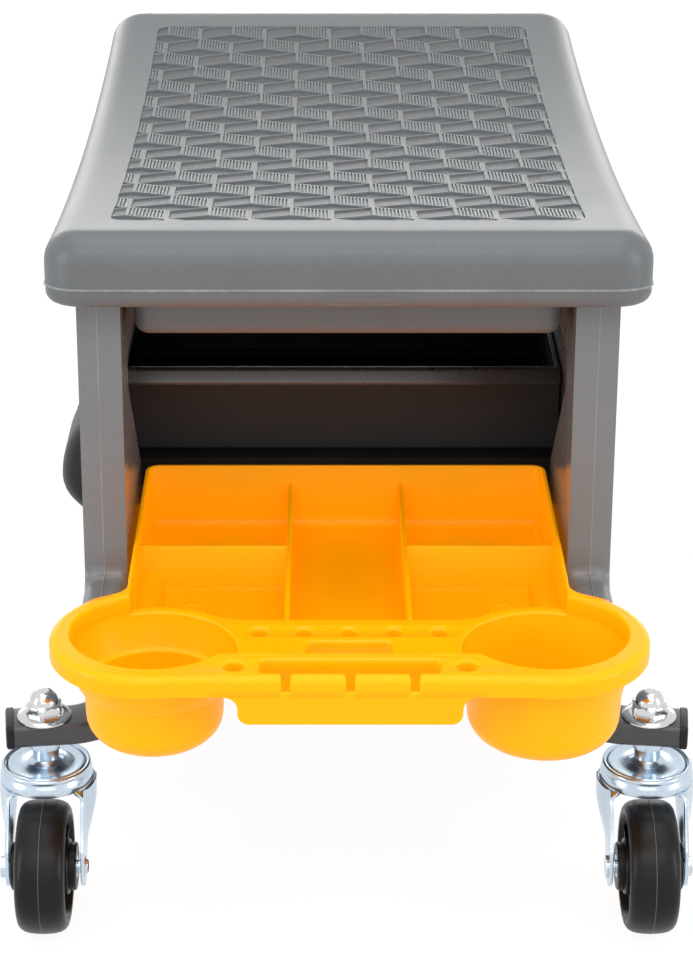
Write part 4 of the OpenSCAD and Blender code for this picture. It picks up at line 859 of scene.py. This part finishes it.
def fork():
    """Stamped fork round the stem's axis at the origin, its wheel trailing towards -Y by 27: a pressed
    top with its rolled bearing ring, and two legs lofted from the ring's circle down to the axle eyes.
    The middle of a leg turns flat lower than its edges do, which makes the flared shoulder."""
    s = Shape()
    profile = [(6.2, 84.9), (19.0, 84.9), (20.6, 84.6), (21.4, 85.2), (21.8, 86.8), (22.4, 88.8), (23.3, 89.8),
               (24.1, 90.0), (24.9, 89.7), (25.3, 89.0), (25.3, 88.2), (25.0, 87.5), (24.9, 87.0), (25.1, 86.4),
               (25.6, 85.4), (26.1, 84.0), (26.25, 82.6), (26.25, 80.0)]
    s.revolve(profile, n=96)
    ring_r, flat_x, top, axle, eye = 26.25, 21.0, 80.2, AXLE[2], 11
    t = np.linspace(-1, 1, 21)
    phi = np.radians(50) * t
    heights = np.concatenate([np.linspace(top, 43, 16), axle + 5.5 * np.linspace(1, 0, 4)[1:],
                              axle - 10.9 * np.sin(quarter(10))[1:]])
    for side in (-1, 1):
        rings = []
        for h in heights:
            edge, mid = (min(max((start - h) / drop, 0), 1) for start, drop in ((top, 3.0), (72.0, 28.0)))
            share = np.clip((np.abs(t) - 0.15) / 0.85, 0, 1)
            k = edge * edge * (3 - 2 * edge) * share + mid * mid * (3 - 2 * mid) * (1 - share)
            front = np.interp(h, [26.5, axle, 50, 62, 74, 80, 82.8], [-38, -38, -37, -31, -24.5, -21.3, -20.1])
            back = np.interp(h, [26.5, axle, 42, 48, 54, 60, 68, top], [-16, -16, -13.5, -5, 6, 14, 19, 20.1])
            if h < axle:
                w = eye * math.sqrt(max(1 - ((axle - h) / eye) ** 2, 0))
                front, back = AXLE[1] - w, AXLE[1] + w
            y0 = (front + back) / 2 + (back - front) / 2 * np.sin(phi) / math.sin(phi[-1])
            x0 = ring_r * np.cos(phi) * (1 - k) + flat_x * k
            rings.append(s.ring(np.c_[side * x0, y0, np.full(len(t), h)]))
        s.loft(rings, False)
    return s


def wheel():
    """Wheel about the X axis at the axle: crowned tread with a parting line, rounded shoulders,
    recessed web and a stepped hub, with five short ribs between hub and rim on each side."""
    s = Shape()
    side = [(18.0, 6.5), (18.6, 7.4), (27.0, 7.4), (28.0, 8.2), (28.6, 9.6), (29.0, 12.6), (29.8, 13.7), (31.4, 14.0),
            (33.2, 13.5), (34.9, 12.2), (36.2, 10.0), (36.9, 7.4), (37.3, 4.0), (37.42, 1.2), (37.42, 0.45),
            (37.5, 0.25)]
    hub = [(6.5, 17.9), (7.2, 18.3), (12.6, 18.3), (13.4, 17.7), (13.5, 14.6), (15.0, 14.2), (15.6, 13.4),
           (15.9, 8.0), (16.6, 6.9), (18.0, 6.5)]
    s.revolve([(r, -x) for r, x in side] + side[::-1], axis="x", n=96, marked=(len(side) - 1,))
    for sx in (-1, 1):
        s.revolve([(r, sx * x) for r, x in hub], axis="x", n=96)
        x0, x1 = sorted((sx * 6.0, sx * 11.5))
        rib = Shape()
        rib.box((15.2, -1.1, x0), (28.6, 1.1, x1), 0.5)
        for k in range(5):
            a = 2 * math.pi * k / 5 + 0.3
            c, d = math.cos(a), math.sin(a)
            s.merge(rib, lambda p: np.c_[p[:, 2], p[:, 0] * c - p[:, 1] * d, p[:, 0] * d + p[:, 1] * c])
    return s


AXLE_ENDS = {   # kind: side, levels of the hexagon (x, limit), profile of its end (radius, x)
    "bolt": (-1, [(21.0, 6.3), (21.5, 7.0), (23.6, 7.0), (24.1, 5.9)],
             [(5.9, 24.1), (5.6, 24.1), (4.6, 24.22), (0, 24.25)]),
    "nut": (1, [(21.0, 6.3), (21.4, 7.0), (23.0, 7.0), (23.5, 5.9)],
            [(5.9, 23.5), (4.4, 23.5), (4.2, 24.1), (3.6, 24.4), (0, 24.4)])}


def axle_end(kind):
    """Hexagon head or lock nut outside a fork leg, its corners chamfered, with its end."""
    s = Shape()
    sx, rows, end = AXLE_ENDS[kind]
    s.add(s.hexagon([(sx * x, limit) for x, limit in rows], 6.3, "x", 72)[:1])
    s.revolve([(r, sx * x) for r, x in end], axis="x", n=72)
    return s


def stem():
    """A stem's head under the fork, its collar above it and the hexagon that bears on the rail."""
    s = Shape()
    s.revolve([(0, 82.2), (10.6, 82.2), (11, 82.0), (11, 80.2), (10.4, 79.8), (0, 79.8)], n=48)
    s.revolve([(8.0, 99.4), (7.6, 98.6), (7.4, 92.6), (8.6, 91.3), (10.2, 90.3), (10.2, 89.5)], n=48)
    s.hexagon([(99.0, 7.6), (99.4, 8.7), (104.2, 8.8), (104.8, 8.2), (104.9, 0.2)], 9.6)
    return s


def band(profile):
    """Closed profile of a race or a washer, turned about the stem."""
    s = Shape()
    s.revolve(profile, n=72, closed=True)
    return s


def cap_nut():
    """Hexagon nut under a dome: circles cut the hexagon's corners, then the dome's own circles follow."""
    s = Shape()
    rows = [(0.0, 10.2), (0.5, 10.85), (4.9, 10.85), (5.6, 10.3), (6.2, 9.3), (6.4, 8.5)]
    rows += [(min(6.6 + 8.2 * 0.98 * math.sin(k), 13.7), 8.2 * math.cos(k)) for k in quarter(12)]
    s.hexagon([(120.5 + h, limit) for h, limit in rows], 11.0)
    return s


RACE = [(9.0, 90.7), (11.0, 90.3), (13.0, 89.2), (18.0, 88.9), (20.2, 89.5), (21.4, 89.4), (21.9, 88.8), (21.8, 88.2),
        (12.0, 87.8), (9.0, 88.4)]
WASHER = [(6.3, 118.0), (14.9, 118.0), (15.3, 118.4), (15.25, 119.1), (14.6, 119.7), (12.0, 120.3), (11.0, 120.5),
          (6.6, 120.5), (6.3, 120.2)]


def at_casters():
    """Name and move of each caster: out to its stem, the rear ones turned half round."""
    for end, turn in (("front", 1.0), ("rear", -1.0)):
        for hand, sx in (("left", -1), ("right", 1)):
            centre = np.array([sx * STEM[0], -turn * STEM[1], 0.0])
            yield f"{end}_{hand}", lambda p, t=turn, c=centre: p * [t, t, 1] + c


for name, move in at_casters():
    caster = name + "_caster"

    def on_axle(p):
        return move(p + AXLE)

    piece(name + "_stamped_fork", Shape().merge(fork(), move), caster, ZINC, (name + "_fork",),
          angle=40, thick=2.0, bevel=0.35)
    piece(name + "_moulded_wheel", Shape().merge(wheel(), on_axle), name + "_wheel",
          [WHEEL, TREAD_LINE], (name + "_wheel",), angle=32)
    for kind, gone in (("bolt", ()), ("nut", (name + "_axle_nut",))):
        piece(f"{name}_axle_{kind}_end", Shape().merge(axle_end(kind), on_axle), caster, CHROME, gone,
              angle=30)

for label, one, slot, mat, node, angle in (
        ("caster_stem_set", stem(), "zinc_steel", ZINC, "caster_stems", 30),
        ("upper_race_set", band(RACE), "zinc_steel", ZINC, "caster_upper_races", 30),
        ("washer_set", band(WASHER), "bright_steel", CHROME, "stem_washers", 30),
        ("cap_nut_set", cap_nut(), "bright_steel", CHROME, "stem_cap_nuts", 28)):
    s = Shape()
    for _, move in at_casters():
        s.merge(one, move)
    piece(label, s, "base", mat, (node,), angle=angle)


# ------------------------------------------- finish of the CAD nodes that stay

# painted shade: the runners take the darker black that stands in for the shade under the drawer
FINISH = {"runner": BLACK_PAINTED_SHADE, "screws": ZINC, "bolt": ZINC, "nut": CHROME, "sleeve": ZINC, "balls": CHROME}
for name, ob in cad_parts.items():
    mat = next((m for key, m in FINISH.items() if key in name), CHROME)
    if not ob.material_slots:
        ob.data.materials.append(mat)
    for slot in ob.material_slots:
        slot.material = mat


# ------------------------------------------------- floor, light and camera

def seen_ray(tree):
    """1 for rays from the camera, from glossy reflection and from transmission, 0 for the others."""
    path = tree.nodes.new("ShaderNodeLightPath")
    total = path.outputs["Is Camera Ray"]
    for label in ("Is Glossy Ray", "Is Transmission Ray"):
        total = maths(tree, "ADD", total, path.outputs[label])
        total.node.use_clamp = True
    return total


def lamp(name, place_at, aim, size, watts):
    data = bpy.data.lights.new(name, "AREA")
    data.shape, data.size, data.size_y = "RECTANGLE", size[0], size[1]
    data.energy = watts
    ob = in_scene(name, data)
    ob.location = place_at
    ob.rotation_euler = (Vector(aim) - Vector(place_at)).to_track_quat("-Z", "Y").to_euler()


def stage():
    """Floor and world, white for the rays that see them, six lamps and the fitted camera."""
    me = bpy.data.meshes.new("floor")
    me.from_pydata([(-40, -40, 0), (40, -40, 0), (40, 40, 0), (-40, 40, 0)], [], [(0, 1, 2, 3)])
    floor = in_scene("floor", me)
    m = bpy.data.materials.new("floor_white")
    m.use_nodes = True
    n, link = m.node_tree.nodes, m.node_tree.links.new
    bsdf = n["Principled BSDF"]
    for label, value in (("Base Color", (0.62, 0.62, 0.62, 1)), ("Roughness", 0.7), ("Specular IOR Level", 0.2)):
        bsdf.inputs[label].default_value = value
    glow, mix = n.new("ShaderNodeEmission"), n.new("ShaderNodeMixShader")
    glow.inputs["Strength"].default_value = 1.13
    link(maths(m.node_tree, "MULTIPLY", seen_ray(m.node_tree), 0.82), mix.inputs["Fac"])
    link(bsdf.outputs[0], mix.inputs[1])
    link(glow.outputs[0], mix.inputs[2])
    link(mix.outputs[0], n["Material Output"].inputs["Surface"])
    me.materials.append(m)
    world = bpy.data.worlds.new("studio")
    bpy.context.scene.world = world
    world.use_nodes = True
    tree = world.node_tree
    back = tree.nodes["Background"]
    back.inputs["Color"].default_value = (1.0, 1.0, 1.0, 1)
    tree.links.new(maths(tree, "MULTIPLY_ADD", seen_ray(tree), 0.45, 0.55), back.inputs["Strength"])
    lamp("overhead", (0, -0.2, 2.1), (0, -0.05, 0.3), (1.7, 1.4), 15)
    lamp("front", (0, -1.9, 1.9), (0, -0.3, 0.2), (2.2, 1.0), 19)
    lamp("back", (0, 2.6, 0.58), (0, 0, 0.4), (3.0, 0.5), 23)
    lamp("low_front", (0, -2.4, 0.75), (0, 0, 0.27), (1.6, 0.2), 2.5)
    lamp("side_left", (-1.6, -0.95, 0.55), (0, -0.2, 0.27), (0.28, 1.1), 9)
    lamp("side_right", (1.6, -0.95, 0.55), (0, -0.2, 0.27), (0.28, 1.1), 9)

    cam = bpy.data.cameras.new("camera")
    ob = in_scene("camera", cam)
    ob.location = (-0.015, -1.5174, 0.8176)
    ob.rotation_euler = (math.radians(90 - 20.4), 0, 0)
    cam.sensor_width, cam.sensor_fit = 36, "AUTO"
    cam.lens = 94.4
    cam.shift_x, cam.shift_y = 0.027, -0.15
    cam.clip_start, cam.clip_end = 0.05, 60
    bpy.context.scene.camera = ob
    bpy.context.scene.view_settings.view_transform = "Standard"
    bpy.context.scene.view_settings.look = "None"


stage()
